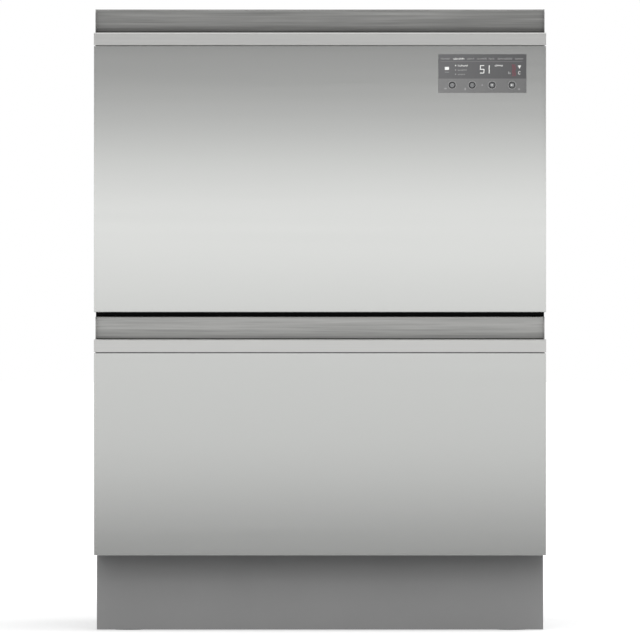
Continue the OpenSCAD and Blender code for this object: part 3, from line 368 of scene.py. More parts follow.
def brushedSteel(name, colour, roughness, anisotropy, line, streak, depth, fade=None):
    # cold-rolled stainless brushed along X: fine level lines, with broader pale and dark streaks
    material, tree, shader, place = newMaterial(name, {
        "Metallic": 1.0, "Anisotropic": anisotropy, "Anisotropic Rotation": 0.25})
    # brush lines are about 0.1 mm apart in the real sheet and drawn coarser so that they show
    patterns = []
    for (length, height), shift, inward, detail, rough in (
            (line, (0.0, 0.0, 0.0), 40.0, 3.0, 0.6), (streak, (0.31, 0.0, 1.7), 12.0, 4.0, 0.55)):
        drawn = addNode(tree, "Mapping", inputs={
            "Vector": place, "Location": shift, "Scale": (1 / (length * mm), inward, 1 / (height * mm))})
        patterns.append(addNode(tree, "TexNoise", inputs={
            "Vector": drawn.outputs[0], "Scale": 1.0, "Detail": detail, "Roughness": rough}).outputs["Fac"])
    both = addNode(tree, "Mix", {"data_type": "FLOAT"}, {0: 0.5, 2: patterns[0], 3: patterns[1]}).outputs[0]
    shade = dressSkin(tree, shader, linear(colour), (both, noiseSpan, 1, depth["tint"]),
                      (both, noiseSpan, roughness, depth["gloss"]), (patterns[0], depth["bump"], 0.00002))
    if fade:
        # painted shade: the steel is darkened further down the grip, by the depth stored on the mesh, where the lip
        # shades the groove
        sunk = addNode(tree, "Attribute", {"attribute_name": "gripDepth"})
        gripShade = addNode(tree, "MapRange", {"interpolation_type": "SMOOTHSTEP"}, {
            "Value": sunk.outputs["Fac"], "From Min": fade["from"], "From Max": fade["to"],
            "To Min": 1.0, "To Max": fade["tone"]})
        shade = addNode(tree, "Mix", multiply, {0: 1.0, 6: shade, 7: gripShade.outputs[0]}).outputs[2]
        tree.links.new(shade, shader.inputs["Base Color"])
    tangent = addNode(tree, "Tangent", {"direction_type": "UV_MAP", "uv_map": "sheetMap"})
    tree.links.new(tangent.outputs[0], shader.inputs["Tangent"])
    return material


# sizes of the cloudiness in moulded plastic and in baked paint
moulded = {"ior": 1.49, "cloud": 55, "detail": 3.0, "distortion": 0.8, "span": noiseSpan, "gloss": 0.05,
           "relief": 0.00015}
baked = {"ior": 1.5, "cloud": 70, "detail": 4.0, "distortion": 0.0, "span": wholeSpan, "gloss": 0.04,
         "relief": 0.0001}


def grainedSkin(name, colour, roughness, grain, mottle, bump=0.25, specular=0.5, way=moulded):
    # a spark-eroded grain or a paint's orange peel, over a faint cloudiness of tone and gloss
    material, tree, shader, place = newMaterial(name, {"IOR": way["ior"], "Specular IOR Level": specular})
    skin = addNode(tree, "TexNoise", inputs={"Vector": place, "Scale": 1 / (grain * mm), "Detail": 2.0,
                                             "Roughness": 0.5})
    cloud = addNode(tree, "TexNoise", inputs={
        "Vector": place, "Scale": 1 / (way["cloud"] * mm), "Detail": way["detail"], "Roughness": 0.6,
        "Distortion": way["distortion"]}).outputs["Fac"]
    dressSkin(tree, shader, linear(colour), (cloud, noiseSpan, 1, mottle),
              (cloud, way["span"], roughness, way["gloss"]), (skin.outputs["Fac"], bump, way["relief"]))
    return material


def platedSteel(name, colour, roughness, cell, worn=0.0):
    # zinc on steel: crystals of slightly different tone and gloss, and brighter rubbed edges
    material, tree, shader, place = newMaterial(name, {"Metallic": 1.0})
    crystals = addNode(tree, "TexVoronoi", {"feature": "F1"}, {
        "Vector": place, "Scale": 1 / (cell * mm), "Randomness": 1.0})
    tone = addNode(tree, "SeparateColor", inputs={"Color": crystals.outputs["Color"]})
    cloud = addNode(tree, "TexNoise", inputs={
        "Vector": place, "Scale": 1 / (90 * mm), "Detail": 4.0, "Roughness": 0.6})
    mixed = addNode(tree, "Mix", {"data_type": "FLOAT"}, {0: 0.4, 2: tone.outputs[0], 3: cloud.outputs["Fac"]})
    skin = addNode(tree, "TexNoise", inputs={"Vector": place, "Scale": 1 / (1.5 * mm), "Detail": 2.0})
    shade = dressSkin(tree, shader, linear(colour), (mixed.outputs[0], wholeSpan, 1, 0.05),
                      (tone.outputs[1], wholeSpan, roughness, 0.07), (skin.outputs["Fac"], 0.12, 0.0001))
    if worn:
        edge = addNode(tree, "NewGeometry")
        rubbed = addNode(tree, "MapRange", inputs={
            "Value": edge.outputs["Pointiness"], "From Min": 0.52, "From Max": 0.58, "To Min": 0.0, "To Max": worn})
        bright = addNode(tree, "Mix", mixColours, {0: rubbed.outputs[0], 6: shade, 7: linear("#e4e4e2")})
        tree.links.new(bright.outputs[2], shader.inputs["Base Color"])
    return material


def windowAcrylic(left, right, band, soft):
    # smoked acrylic over a grey mask: glossy, paler to the left and darker to the right as a painted sheen, with a
    # paler satin band below
    material, tree, shader, place = newMaterial("smokedAcrylicWindow", {
        "IOR": 1.49, "Roughness": 0.2})
    axes = addNode(tree, "SeparateXYZ", inputs={0: place})
    # painted sheen: the colour runs from paler on the left to darker on the right
    across = addNode(tree, "MapRange", inputs={
        "Value": axes.outputs[0], "From Min": left * mm, "From Max": right * mm})
    lower, upper = [addNode(tree, "Mix", mixColours, {
        0: across.outputs[0], 6: linear(first), 7: linear(last)}).outputs[2]
        for first, last in (("#7e7e7e", "#6f6f6f"), ("#6b6b6c", "#5a5a5b"))]
    above = addNode(tree, "MapRange", inputs={
        "Value": axes.outputs[2], "From Min": (band - soft) * mm, "From Max": (band + soft) * mm}).outputs[0]
    shade = addNode(tree, "Mix", mixColours, {0: above, 6: lower, 7: upper})
    speck = addNode(tree, "TexNoise", inputs={"Vector": place, "Scale": 1 / (2.5 * mm), "Detail": 2.0})
    dressSkin(tree, shader, shade.outputs[2], (speck.outputs["Fac"], noiseSpan, 1, 0.03),
              (above, wholeSpan, 0.29, -0.13))
    return material


def perforatedSteel():
    # stainless punched with 1 mm holes, drawn at a 4 mm pitch so that they show, as dark dots sunk in the sheet; the
    # dark of the dots is painted shade inside the holes
    material, tree, shader, place = newMaterial("punchedStainlessFilter", {
        "Metallic": 1.0, "Roughness": 0.3})
    dots = addNode(tree, "TexVoronoi", {"feature": "F1", "voronoi_dimensions": "2D"}, {
        "Vector": place, "Scale": 1 / (4.0 * mm), "Randomness": 0.0})
    hole = addNode(tree, "MapRange", inputs={
        "Value": dots.outputs["Distance"], "From Min": 0.24, "From Max": 0.30}).outputs[0]
    # painted shade in the holes, over the steel's own tone
    shade = addNode(tree, "Mix", mixColours, {0: hole, 6: linear("#1d1e20"), 7: linear("#bfc2c3")})
    tree.links.new(shade.outputs[2], shader.inputs["Base Color"])
    relief = addNode(tree, "Bump", inputs={"Height": hole, "Strength": 0.6, "Distance": 0.0005})
    tree.links.new(relief.outputs[0], shader.inputs["Normal"])
    return material


def litMark(name, colour, level):
    # a back-lit mark in the display: an even glow that thins in places with the film
    material, tree, shader, place = newMaterial(name, {"Roughness": 0.5, "Emission Strength": level})
    film = addNode(tree, "TexNoise", inputs={"Vector": place, "Scale": 1 / (1.2 * mm), "Detail": 1.0})
    shade = dressSkin(tree, shader, linear(colour), (film.outputs["Fac"], noiseSpan, 0.95, 0.05))
    tree.links.new(shade, shader.inputs["Emission Color"])
    return material


# the front sheets: an even satin grain that spreads reflections up and down
panelSteel = brushedSteel("brushedStainlessSheet", "#d3d4d2", 0.24, 0.5, (220, 1.1), (500, 14),
                          {"tint": 0.012, "gloss": 0.015, "bump": 0.05})
# the handle's lip: the same steel, linished flatter and paler
lipSteel = brushedSteel("linishedStainlessLip", "#e4e4e2", 0.46, 0.45, (160, 1.4), (420, 6),
                        {"tint": 0.03, "gloss": 0.03, "bump": 0.08})
# inside the grip: coarse rolled streaks that read as long pale and dark lines, on a darker steel that is partly its
# coarser finish and partly painted shade of the recess, with more painted shade further down
grooveSteel = brushedSteel("streakedStainlessGroove", "#b4b4b2", 0.36, 0.5, (110, 2.2), (300, 4.5),
                           {"tint": 0.30, "gloss": 0.05, "bump": 0.1}, {"from": 14, "to": 31, "tone": 0.68})
# zinc: dull centimetre crystals on the sheet, tight bright ones on the runners, pale screw heads
galvanised = platedSteel("hotDipGalvanisedSheet", "#b4b7b8", 0.42, 9)
zincPlate = platedSteel("electroZincRunner", "#c6c9c8", 0.30, 2.5, worn=0.5)
screwSteel = platedSteel("nickelledScrew", "#c9c8c4", 0.25, 1.5, worn=0.4)
# paint: a matt black coat, which on the front trim is a dark sheet standing in for the shade deep in the gap between
# the drawers, and a satin grey one on the kick strip
blackCoatAndGapShade = grainedSkin("blackPowderCoatAndGapShade", "#070708", 0.62, 0.9, 0.03, 0.2, 0.12, baked)
kickPaint = grainedSkin("satinGreyKickPaint", "#858585", 0.48, 1.2, 0.02, 0.06, 0.5, baked)
# pale mouldings with a soft satin sheen
tubPlastic = grainedSkin("talcFilledPolypropyleneTub", "#d5d8d8", 0.38, 1.4, 0.02)
lidPlastic = grainedSkin("mouldedPolypropyleneLid", "#c3c7c9", 0.42, 1.4, 0.03)
dispenserPlastic = grainedSkin("mouldedAbsDispenser", "#cdd0d1", 0.35, 1.0, 0.02)
valvePlastic = grainedSkin("mouldedNylonValve", "#dcdcd6", 0.38, 0.9, 0.04)
# mid-grey mouldings, and the blue cap that stands out from them
sprayPlastic = grainedSkin("glassFilledPolypropyleneArm", "#8f9498", 0.4, 0.9, 0.05)
filterPlastic = grainedSkin("mouldedPolypropyleneFilter", "#6d7278", 0.4, 0.8, 0.05)
cutleryPlastic = grainedSkin("mouldedPolypropyleneCutleryBasket", "#8b9196", 0.42, 0.9, 0.04)
capPlastic = grainedSkin("mouldedAbsRinseCap", "#4d7fa6", 0.32, 0.9, 0.03)
# dark mouldings: satin where plain, duller where they are filled
# a black sheet in the grip that paints the shade of the groove over the lip
grooveShadeLiner = grainedSkin("blackGrooveShadeLiner", "#070708", 0.6, 0.9, 0.1, specular=0.1)
footPlastic = grainedSkin("glassFilledNylonFoot", "#26272a", 0.5, 0.8, 0.1)
motorPlastic = grainedSkin("overmouldedPolyesterStator", "#3c4046", 0.5, 1.0, 0.08)
armPlastic = grainedSkin("mouldedAcetalArm", "#2e3034", 0.36, 0.9, 0.06)
servicePlastic = grainedSkin("mouldedPolypropyleneServicePanel", "#3b3e42", 0.5, 1.1, 0.08)
housingPlastic = grainedSkin("flameRetardantAbsHousing", "#3f4447", 0.5, 1.0, 0.06)
# rubber: matt, with a rougher skin
sealRubber = grainedSkin("extrudedRubberSeal", "#1c1d1f", 0.62, 1.2, 0.12, 0.35, 0.35)
# polyamide dip-coated wire: soft grey with a waxy sheen
coatedWire = grainedSkin("polyamideCoatedWire", "#a4abb1", 0.34, 2.5, 0.05, 0.12)
coatedTine = grainedSkin("polyamideCoatedTine", "#7f8b98", 0.34, 2.5, 0.05, 0.12)
# buttons: satin grey caps, and a dark ring that paints shade in the groove of each rim
buttonPlastic = grainedSkin("satinAbsButton", "#767778", 0.4, 0.6, 0.03, 0.1)
buttonGrooveShadeRing = grainedSkin("darkButtonGrooveShadeRing", "#3f4041", 0.5, 0.6, 0.03, 0.1)
displayWindow = windowAcrylic(157, 273, 732.4, 0.5)
filterSteel = perforatedSteel()
brightMark = litMark("displayFilmWhite", "#f0f0ee", 0.12)
dimMark = litMark("displayFilmGrey", "#a2a2a2", 0.05)
redMark = litMark("displayFilmRed", "#84414d", 0.02)
print("materials:", len(bpy.data.materials))


# drawer fronts

tubRise = 37  # height of the sump's underside above its module's base
moduleBase = {side: cadSize(side + "_tub")[0].z - tubRise for side in sides}
frontSheet = {"thickness": 1.0, "bend": 0.8, "border": 6.0, "flange": 14.0, "topReturn": 2.4, "flangeStop": 32.0,
              "topBend": 0.3, "seamLift": {"upper": 0.0, "lower": 0.6}}
# corners of the display glass, across and up, and the gap round it
glass = {"low": (157.0, 714.0), "high": (273.0, 764.4), "gap": 0.2}


def makeFrontSheet(side):
    # a folded tray: face, side and bottom returns with a rear flange, and a short return under the lip
    low, high = cadSize(side + "_front_panel")
    f = frontSheet
    high.z += f["seamLift"][side]
    bm = bmesh.new()
    roundedBox(bm, low, high)
    back = [face for face in bm.faces if face.normal.y > 0.9]
    bmesh.ops.inset_individual(bm, faces=back, thickness=f["flange"], use_even_offset=True)
    top = [face for face in bm.faces if face.normal.z > 0.9 and abs(face.calc_center_median().z - high.z) < near]
    bmesh.ops.delete(bm, geom=back + top, context="FACES")
    roundEdges(bm, foldsOf(bm), f["bend"], 4)
    # the rear flange and its bend stop short of the handle
    bm.normal_update()
    stop = high.z - f["flangeStop"]
    cutPlane(bm, [face for face in bm.faces if face.normal.y > 0.05], 2, stop)
    above = [face for face in bm.faces if face.normal.y > 0.05 and face.calc_center_median().z > stop]
    bmesh.ops.delete(bm, geom=above, context="FACES")
    lip = edgesWhere(bm, lambda co: abs(co.y - low.y) < near and abs(co.z - high.z) < near, True)
    drawOut(bm, lip, (0, f["topReturn"], 0))
    roundEdges(bm, lip, f["topBend"], 2)
    if side == "upper":
        # the window's cuts stay inside a border, clear of the bends
        face = max(bm.faces, key=lambda g: g.calc_area())
        bmesh.ops.inset_individual(bm, faces=[face], thickness=f["border"], use_even_offset=True)
        window = [spot + way * glass["gap"] for corner, way in (("low", -1), ("high", 1)) for spot in glass[corner]]
        openWindow(bm, window, (0, 2), lambda g: g.normal.y < -0.99 and all(
            abs(v.co.x) < high.x - f["border"] for v in g.verts))
    bmesh.ops.recalc_face_normals(bm, faces=bm.faces)
    turnOut(bm, 1, -1)
    finishPiece(bm, side + "_front_sheet", side + "_drawer", panelSteel, [side + "_front_panel"],
                wall=f["thickness"])


gripRail = {"lipTop": {"upper": -31.5, "lower": -30.3}, "lipBottom": -48.2, "lipDepth": 5.0, "lipRound": 2.3,
            "wall": 3.0, "frontWall": 2.0, "groove": 20.0, "bottom": -65.5, "channelHalf": 296.5, "capHalf": 297.5,
            "liner": 0.6, "linerBelow": 3.0, "linerAbove": {"upper": 1.7, "lower": 1.1}}


def makeHandle(side):
    low, high = cadSize(side + "_handle")
    drawer = side + "_drawer"
    r, z = gripRail, high.z
    inFront = low.y + r["lipDepth"]
    inBack = inFront + r["groove"]
    back, front = inBack + r["wall"], inFront - r["frontWall"]
    foot, inFoot = z + r["bottom"], z + r["bottom"] + r["wall"]
    lipTop, lipFoot = z + r["lipTop"][side], z + r["lipBottom"]
    seam = lipFoot + frontSheet["seamLift"][side]
    lip = bmesh.new()
    sweepOutline(lip, [(low.y, seam), (inFront, seam), (inFront, lipTop), (low.y, lipTop)],
                 {2: (r["lipRound"], 6), 3: (r["lipRound"], 6), 0: (0.3, 2)}, low.x, high.x)
    roundEdges(lip, edgesWhere(lip, lambda co: abs(abs(co.x) - high.x) < near), 0.35, 2)
    finishPiece(lip, side + "_grip_lip", drawer, lipSteel, [side + "_handle"])
    # the channel behind the lip: front wall, round bottom and the tall back wall
    channel = bmesh.new()
    sweepOutline(channel, [(front, lipFoot), (front, foot), (back, foot), (back, z), (inBack, z), (inBack, inFoot),
                           (inFront, inFoot), (inFront, lipFoot)],
                 {1: (11.5, 8), 2: (12.8, 8), 3: (1.4, 4), 4: (1.4, 4), 5: (9.9, 10), 6: (9.9, 10)},
                 -r["channelHalf"], r["channelHalf"])
    for way in (-1, 1):
        # end caps, cut to the channel's own side view
        sweepOutline(channel, [(inFront, inFoot), (back, inFoot), (back, z - 0.3), (inFront, z - 0.3)],
                     {0: (9, 6), 1: (9, 6), 2: (3, 4), 3: (6, 5)}, way * (r["channelHalf"] - 0.05),
                     way * r["capHalf"])
    sunk = channel.verts.layers.float.new("gripDepth")
    for vert in channel.verts:
        vert[sunk] = z - vert.co.z
    finishPiece(channel, side + "_grip_channel", drawer, grooveSteel, angle=40)
    # a black liner in the groove up to just above the lip, a dark sheet that paints the shade deep in the grip as a
    # dark line over the lip
    liner = bmesh.new()
    t, top, start = r["liner"], lipTop + r["linerAbove"][side], lipTop - r["linerBelow"]
    sweepOutline(liner, [(inFront, start), (inFront, inFoot), (inBack, inFoot), (inBack, top), (inBack - t, top),
                         (inBack - t, inFoot + t), (inFront + t, inFoot + t), (inFront + t, start)],
                 {1: (9.9, 10), 2: (9.9, 10), 5: (9.3, 10), 6: (9.3, 10)}, -r["channelHalf"], r["channelHalf"])
    finishPiece(liner, side + "_grip_shade_liner", drawer, grooveShadeLiner, angle=40)


for side in sides:
    makeFrontSheet(side)
    makeHandle(side)
print("drawer fronts done")


# control panel

display = {"thickness": 2.4, "hole": 4.55, "pitch": 26.4, "firstX": 175.0, "rowZ": 723.8, "radius": 4.2,
           "mark": 0.12, "digit": (5.9, 11.2, 1.3), "segmentGap": 0.12, "lean": 0.06, "stroke": 0.42,
           "strokePitch": 1.1}
fasciaLow = cadSize("display_fascia")[0]
glassY = fasciaLow.y
buttonXs = [display["firstX"] + i * display["pitch"] for i in range(4)]


def makeFascia():
    # plate with four button holes, its front edge broken
    bm = bmesh.new()
    plate = fillPlate(bm, glassY, [glass["low"] + glass["high"]],
                      [(x, display["rowZ"], display["hole"]) for x in buttonXs])
    drawFaces(bm, plate, (0, display["thickness"], 0))
    roundEdges(bm, foldsOf(bm, 1, lambda co: abs(co.y - glassY) < near), 0.3, 2)
    finishPiece(bm, "display_window", "upper_drawer", displayWindow, ["display_fascia"])


def addMark(bm, x0, z0, x1, z1, slant=0.0, y=glassY):
    # a thin raised bar on the glass
    for vert in roundedBox(bm, (x0, y - display["mark"], z0), (x1, y + 0.05, z1)):
        vert.co.x += slant * (vert.co.z - z0)


def addWord(bm, x0, x1, z, height, chance):
    # greeked word: upright strokes of uneven height with short joins, no letters
    x, stroke, pitch = x0, display["stroke"], display["strokePitch"]
    while x < x1 - 0.3:
        tall = height * (1.0 if chance.random() < 0.3 else 0.7)
        addMark(bm, x, z - height / 2, x + stroke, z - height / 2 + tall)
        if x + 1.3 < x1 and chance.random() < 0.75:
            level = z - height / 2 + (0.0 if chance.random() < 0.5 else height * 0.7 - 0.4)
            addMark(bm, x, level, x + pitch, level + 0.4)
        x += pitch


def addDigit(bm, segments, x, z):
    # seven-segment digit: bars named a to g, leaning slightly
    (w, h, t), gap = display["digit"], display["segmentGap"]
    bars = {"a": (0, h - t, w, h), "d": (0, 0, w, t), "g": (0, h / 2 - t / 2, w, h / 2 + t / 2),
            "b": (w - t, h / 2, w, h), "c": (w - t, 0, w, h / 2), "f": (0, h / 2, t, h), "e": (0, 0, t, h / 2)}
    for x0, z0, x1, z1 in [bars[name] for name in segments]:
        addMark(bm, x + x0 + gap, z + z0 + gap, x + x1 - gap, z + z1 - gap, display["lean"])


def makeMarks():
    # places across and up the glass, from its left and lower edges, in millimetres
    left, foot = fasciaLow.x, fasciaLow.z + 0.5
    chance = random.Random(7)
    bright, dim, red = bmesh.new(), bmesh.new(), bmesh.new()
    # top row of words
    for x0, x1 in ((4.0, 15.9), (38.3, 48.1), (51.8, 64.2), (67.3, 75.0), (79.0, 98.0), (102.1, 112.7)):
        addWord(dim, left + x0, left + x1, foot + 45.6, 2.2, chance)
    addWord(bright, left + 20.1, left + 35.1, foot + 45.6, 2.6, chance)
    # option rows, each a dot and a word, and the word over the heat symbol
    for row, (height, target) in enumerate(((36.4, bright), (30.5, dim), (24.9, dim))):
        addMark(target, left + 22.6, foot + height - 0.7, left + 24.0, foot + height + 0.7)
        addWord(target, left + 26.4, left + 39.8 - row * 2.0, foot + height, 2.4 - 0.3 * (row > 0), chance)
    addWord(bright, left + 75.4, left + 85.8, foot + 36.6, 2.4, chance)
    addDigit(bright, "afgcd", left + 55.4, foot + 25.8)
    addDigit(bright, "bc", left + 62.4, foot + 25.8)
    # rule, drawer symbol with its base line, two bars, and the marks between the buttons
    plus = display["rowZ"] - foot
    for target, x0, z0, x1, z1 in (
            (dim, 4.0, 41.6, 112.0, 41.8), (bright, 9.0, 30.6, 14.6, 34.6), (dim, 9.0, 27.4, 14.6, 28.0),
            (dim, 93.0, 25.2, 94.2, 28.4), (dim, 94.8, 25.2, 96.0, 27.2),
            (dim, 57.4, plus - 0.35, 59.8, plus + 0.35), (dim, 58.25, plus - 1.2, 58.95, plus + 1.2),
            (dim, 8.4, 5.2, 11.4, 6.8), (dim, 35.2, 3.8, 37.0, 7.0), (dim, 106.3, 4.4, 108.5, 6.0)):
        addMark(target, left + x0, foot + z0, left + x1, foot + z1)
    # rising heat: three wavy columns of short red bars
    for column in range(3):
        for step in range(11):
            x = left + 98.4 + column * 1.7 + 0.55 * math.sin(step * 1.15)
            z = foot + 22.3 + step * 1.45
            addMark(red, x, z, x + 0.75, z + 1.3)
    # funnel and loop symbols
    middle = left + 107.9
    for level in range(6):
        half, z = 0.35 + level * 0.34, foot + 32.4 + level * 0.7
        addMark(bright, middle - half, z, middle + half, z + 0.66)
    for step in range(14):
        angle = math.radians(40 + step * 21)
        x, z = middle + 1.5 * math.cos(angle), foot + 26.8 + 1.9 * math.sin(angle)
        addMark(bright, x - 0.3, z - 0.3, x + 0.3, z + 0.3)
    # printed halo round each button
    for x in buttonXs:
        turnedProfile(dim, [(4.9, -0.02), (4.9, 0.05), (5.45, 0.05), (5.45, -0.02)],
                      (x, glassY, display["rowZ"]), (0, -1, 0), 40)
    for bm, name, material in ((bright, "bright", brightMark), (dim, "dim", dimMark), (red, "red", redMark)):
        finishPiece(bm, "display_marks_" + name, "upper_drawer", material, merge=0.0005)


def makeButton(node, index):
    # a dished push button with a raised rim and a collar behind the glass
    low, high = cadSize(node)
    x, z, r = buttonXs[index], display["rowZ"], display["radius"]
    cap = bmesh.new()
    turnedProfile(cap, [(0, 0.42), (2.6, 0.42), (3.0, 0.3), (3.15, 0.05), (3.3, 0), (3.95, 0), (r, 0.2), (r, 2.95),
                        (r + 1.2, 2.95), (r + 1.2, 4.55), (r, 4.55), (r, high.y - low.y), (0, high.y - low.y)],
                  (x, low.y, z), (0, 1, 0), 40)
    finishPiece(cap, node + "_cap", node, buttonPlastic, [node])
    # a dark ring let into the rim's groove, painted shade of the groove
    ring = bmesh.new()
    turnedProfile(ring, [(3.25, 0.3), (3.25, -0.02), (4.0, -0.02), (4.0, 0.3)], (x, low.y + 0.02, z), (0, 1, 0), 40)
    finishPiece(ring, node + "_ring", node, buttonGrooveShadeRing, merge=0.0005)
    # symbols: a ring with a stroke, three lines, a plus, and a triangle with a bar
    icon = bmesh.new()
    y = low.y + 0.42
    if index == 0:
        turnedProfile(icon, [(1.35, 0), (1.35, 0.08), (1.8, 0.08), (1.8, 0)], (x, y, z), (0, -1, 0), 24)
    bars = [[(-0.2, 0.5, 0.2, 2.2)], [(-1.2, rise - 0.18, 1.2, rise + 0.18) for rise in (-1.0, 0.0, 1.0)],
            [(-1.3, -0.3, 1.3, 0.3), (-0.3, -1.3, 0.3, 1.3)],
            [(0.4 * step - 1.5, 0.27 * step - 1.3, 0.4 * step - 1.15, 1.3 - 0.27 * step) for step in range(5)]
            + [(1.0, -1.2, 1.4, 1.2)]][index]
    for x0, z0, x1, z1 in bars:
        addMark(icon, x + x0, z + z0, x + x1, z + z1, y=y)
    finishPiece(icon, node + "_symbol", node, dimMark if index < 2 else brightMark, merge=0.0005)


makeFascia()
makeMarks()
for index, name in enumerate(("power", "programme", "option", "start")):
    makeButton("button_" + name, index)
print("control panel done")


# plinth and feet

kickSheet = {"thickness": 1.2, "bend": 1.5}
foot = {"x": 255.0, "front": -188.5, "rear": 239.7, "pad": 22.0, "stem": 5.0, "top": 149.0, "pitch": 2.5,
        "thread": 0.55, "nut": 9.5, "nutDepth": 7, "nutZ": 11.4, "start": 14.0}


def makeKickStrip():
    # a folded sheet, open above, below and behind
    bm = bmesh.new()
    roundedBox(bm, *cadSize("kick_strip"))
    hidden = [f for f in bm.faces if abs(f.normal.z) > 0.9 or f.normal.y > 0.9]
    bmesh.ops.delete(bm, geom=hidden, context="FACES")
    roundEdges(bm, foldsOf(bm), kickSheet["bend"], 4)
    bmesh.ops.recalc_face_normals(bm, faces=bm.faces)
    turnOut(bm, 1, -1)
    finishPiece(bm, "kick_sheet", "chassis", kickPaint, ["kick_strip"], wall=kickSheet["thickness"])


def makeFeet():
    # pad, hexagon and threaded stem of each levelling foot
    pad, stem, top, pitch = foot["pad"], foot["stem"], foot["top"], foot["pitch"]
    thread, z = [(0, foot["start"])], foot["start"]
    while z < top - pitch:
        thread += [(stem - foot["thread"], z), (stem, z + pitch / 2)]
        z += pitch
    thread += [(stem - foot["thread"], z), (stem - 1.2, top), (0, top)]
    bm = bmesh.new()
    for x in (-foot["x"], foot["x"]):
        for y in (foot["front"], foot["rear"]):
            turnedProfile(bm, [(0, 0.6), (pad - 4, 0.6), (pad - 3.4, 0), (pad - 0.8, 0), (pad, 0.9), (pad, 4.2),
                               (pad - 1.2, 5.4), (14, 7.4), (12.2, 8), (0, 8)], (x, y, 0), segments=36)
            half = Vector((0, 0, foot["nutDepth"] / 2))
            spot = Vector((x, y, foot["nutZ"]))
            roundEdges(bm, edgesOf(addBar(bm, spot - half, spot + half, foot["nut"], 6)), 0.5, 2)
            turnedProfile(bm, thread, (x, y, 0), segments=16)
    finishPiece(bm, "feet_threaded", "feet", footPlastic, ["levelling_feet"], angle=40)


makeKickStrip()
makeFeet()
print("plinth done")


# cabinet panels

panel = {"slope": 1.9, "depth": 2.5, "thickness": 1.0, "rib": 14.0, "inset": 70.0, "flange": 14, "bend": 1.6,
         "lap": 0.05, "eyelet": 28}
# ribs of the sides and the rear, above the sheet's foot or above and below a module's base
rib = {"foot": 30, "below": 66, "front": 40, "from": 170, "to": 90, "rear": 40, "rearTop": 79, "rearEdge": 76.5,
       "topEdge": 62.5, "topMiddle": 20}
vent = {"count": 9, "first": -150, "pitch": 16, "width": 6, "low": 150, "high": 200}


def pressedSheet(low, high, pockets, openings, place):
    # a flat sheet with pockets pressed down into it and openings cut through it, then put in its place
    bm = bmesh.new()
    addPlate(bm, low, high)
    cuts = pockets + openings
    for axis in (0, 1):
        for spot in sorted({r[axis] for r in cuts} | {r[axis + 2] for r in cuts}):
            cutPlane(bm, bm.faces[:], axis, spot)
    bmesh.ops.delete(bm, geom=facesWithin(bm, openings, (0, 1)), context="FACES")
    slope = panel["slope"]
    for x0, y0, x1, y1 in pockets:
        for s in (0, slope):
            floor = facesWithin(bm, [(x0 + s, y0 + s, x1 - s, y1 - s)], (0, 1))
            bmesh.ops.inset_region(bm, faces=floor, thickness=slope, depth=-panel["depth"] / 2, use_even_offset=True)
    bmesh.ops.dissolve_limit(bm, angle_limit=math.radians(1), verts=bm.verts, edges=bm.edges)
    bmesh.ops.transform(bm, matrix=place, verts=bm.verts)
    return bm


def makeSidePanels():
    # galvanised sides with pressed stiffening ribs, and flanges turned in at the top and the back
    low, high = cadSize("right_side_panel")
    inset, wide, upper = panel["inset"], panel["rib"], moduleBase["upper"]
    # the rear sheet laps over the sides' rear flanges
    y0, y1, z0, z1 = low.y, high.y - panel["thickness"] - panel["lap"], low.z, high.z
    rear = y1 - inset
    pockets = [(y0 + inset, z, rear, z + wide) for z in (z0 + rib["foot"], upper - rib["below"])]
    for start, end in ((upper + rib["from"], z1 + 1 - inset), (moduleBase["lower"] + rib["from"], upper - rib["to"])):
        pockets += [(y, start, y + wide, end) for y in (y0 + rib["front"], rear)]
    for node, way in (("right_side_panel", 1), ("left_side_panel", -1)):
        place = Matrix(((0, 0, way, way * high.x), (1, 0, 0, 0), (0, 1, 0, 0), (0, 0, 0, 1)))
        bm = pressedSheet((y0, z0), (y1, z1), pockets, [], place)
        for axis, edge in ((2, z1), (1, y1)):
            drawOut(bm, edgesWhere(bm, lambda co: abs(co[axis] - edge) < near, True), (-way * panel["flange"], 0, 0))
        roundEdges(bm, foldsOf(bm, 1.2), panel["bend"], 3)
        turnOut(bm, 0, way)
        finishPiece(bm, node + "_sheet", "chassis", galvanised, [node], wall=panel["thickness"])


def makeRearPanel():
    # galvanised rear sheet with level ribs and a row of vent slots behind each drawer
    low, high = cadSize("rear_panel")
    half, edge = high.x - rib["rearEdge"], high.x + panel["thickness"]
    pockets = [(-half, z, half, z + panel["rib"]) for z in (
        moduleBase["lower"] + rib["rear"], moduleBase["upper"] - rib["rear"], high.z - rib["rearTop"])]
    vents = [(x, moduleBase[side] + vent["low"], x + vent["width"], moduleBase[side] + vent["high"])
             for side in sides for x in [vent["first"] + i * vent["pitch"] for i in range(vent["count"])]]
    place = Matrix(((1, 0, 0, 0), (0, 0, 1, high.y), (0, 1, 0, 0), (0, 0, 0, 1)))
    bm = pressedSheet((-edge, low.z), (edge, high.z), pockets, vents, place)
    turnOut(bm, 1, 1)
    finishPiece(bm, "rear_sheet", "chassis", galvanised, ["rear_panel"], wall=panel["thickness"])


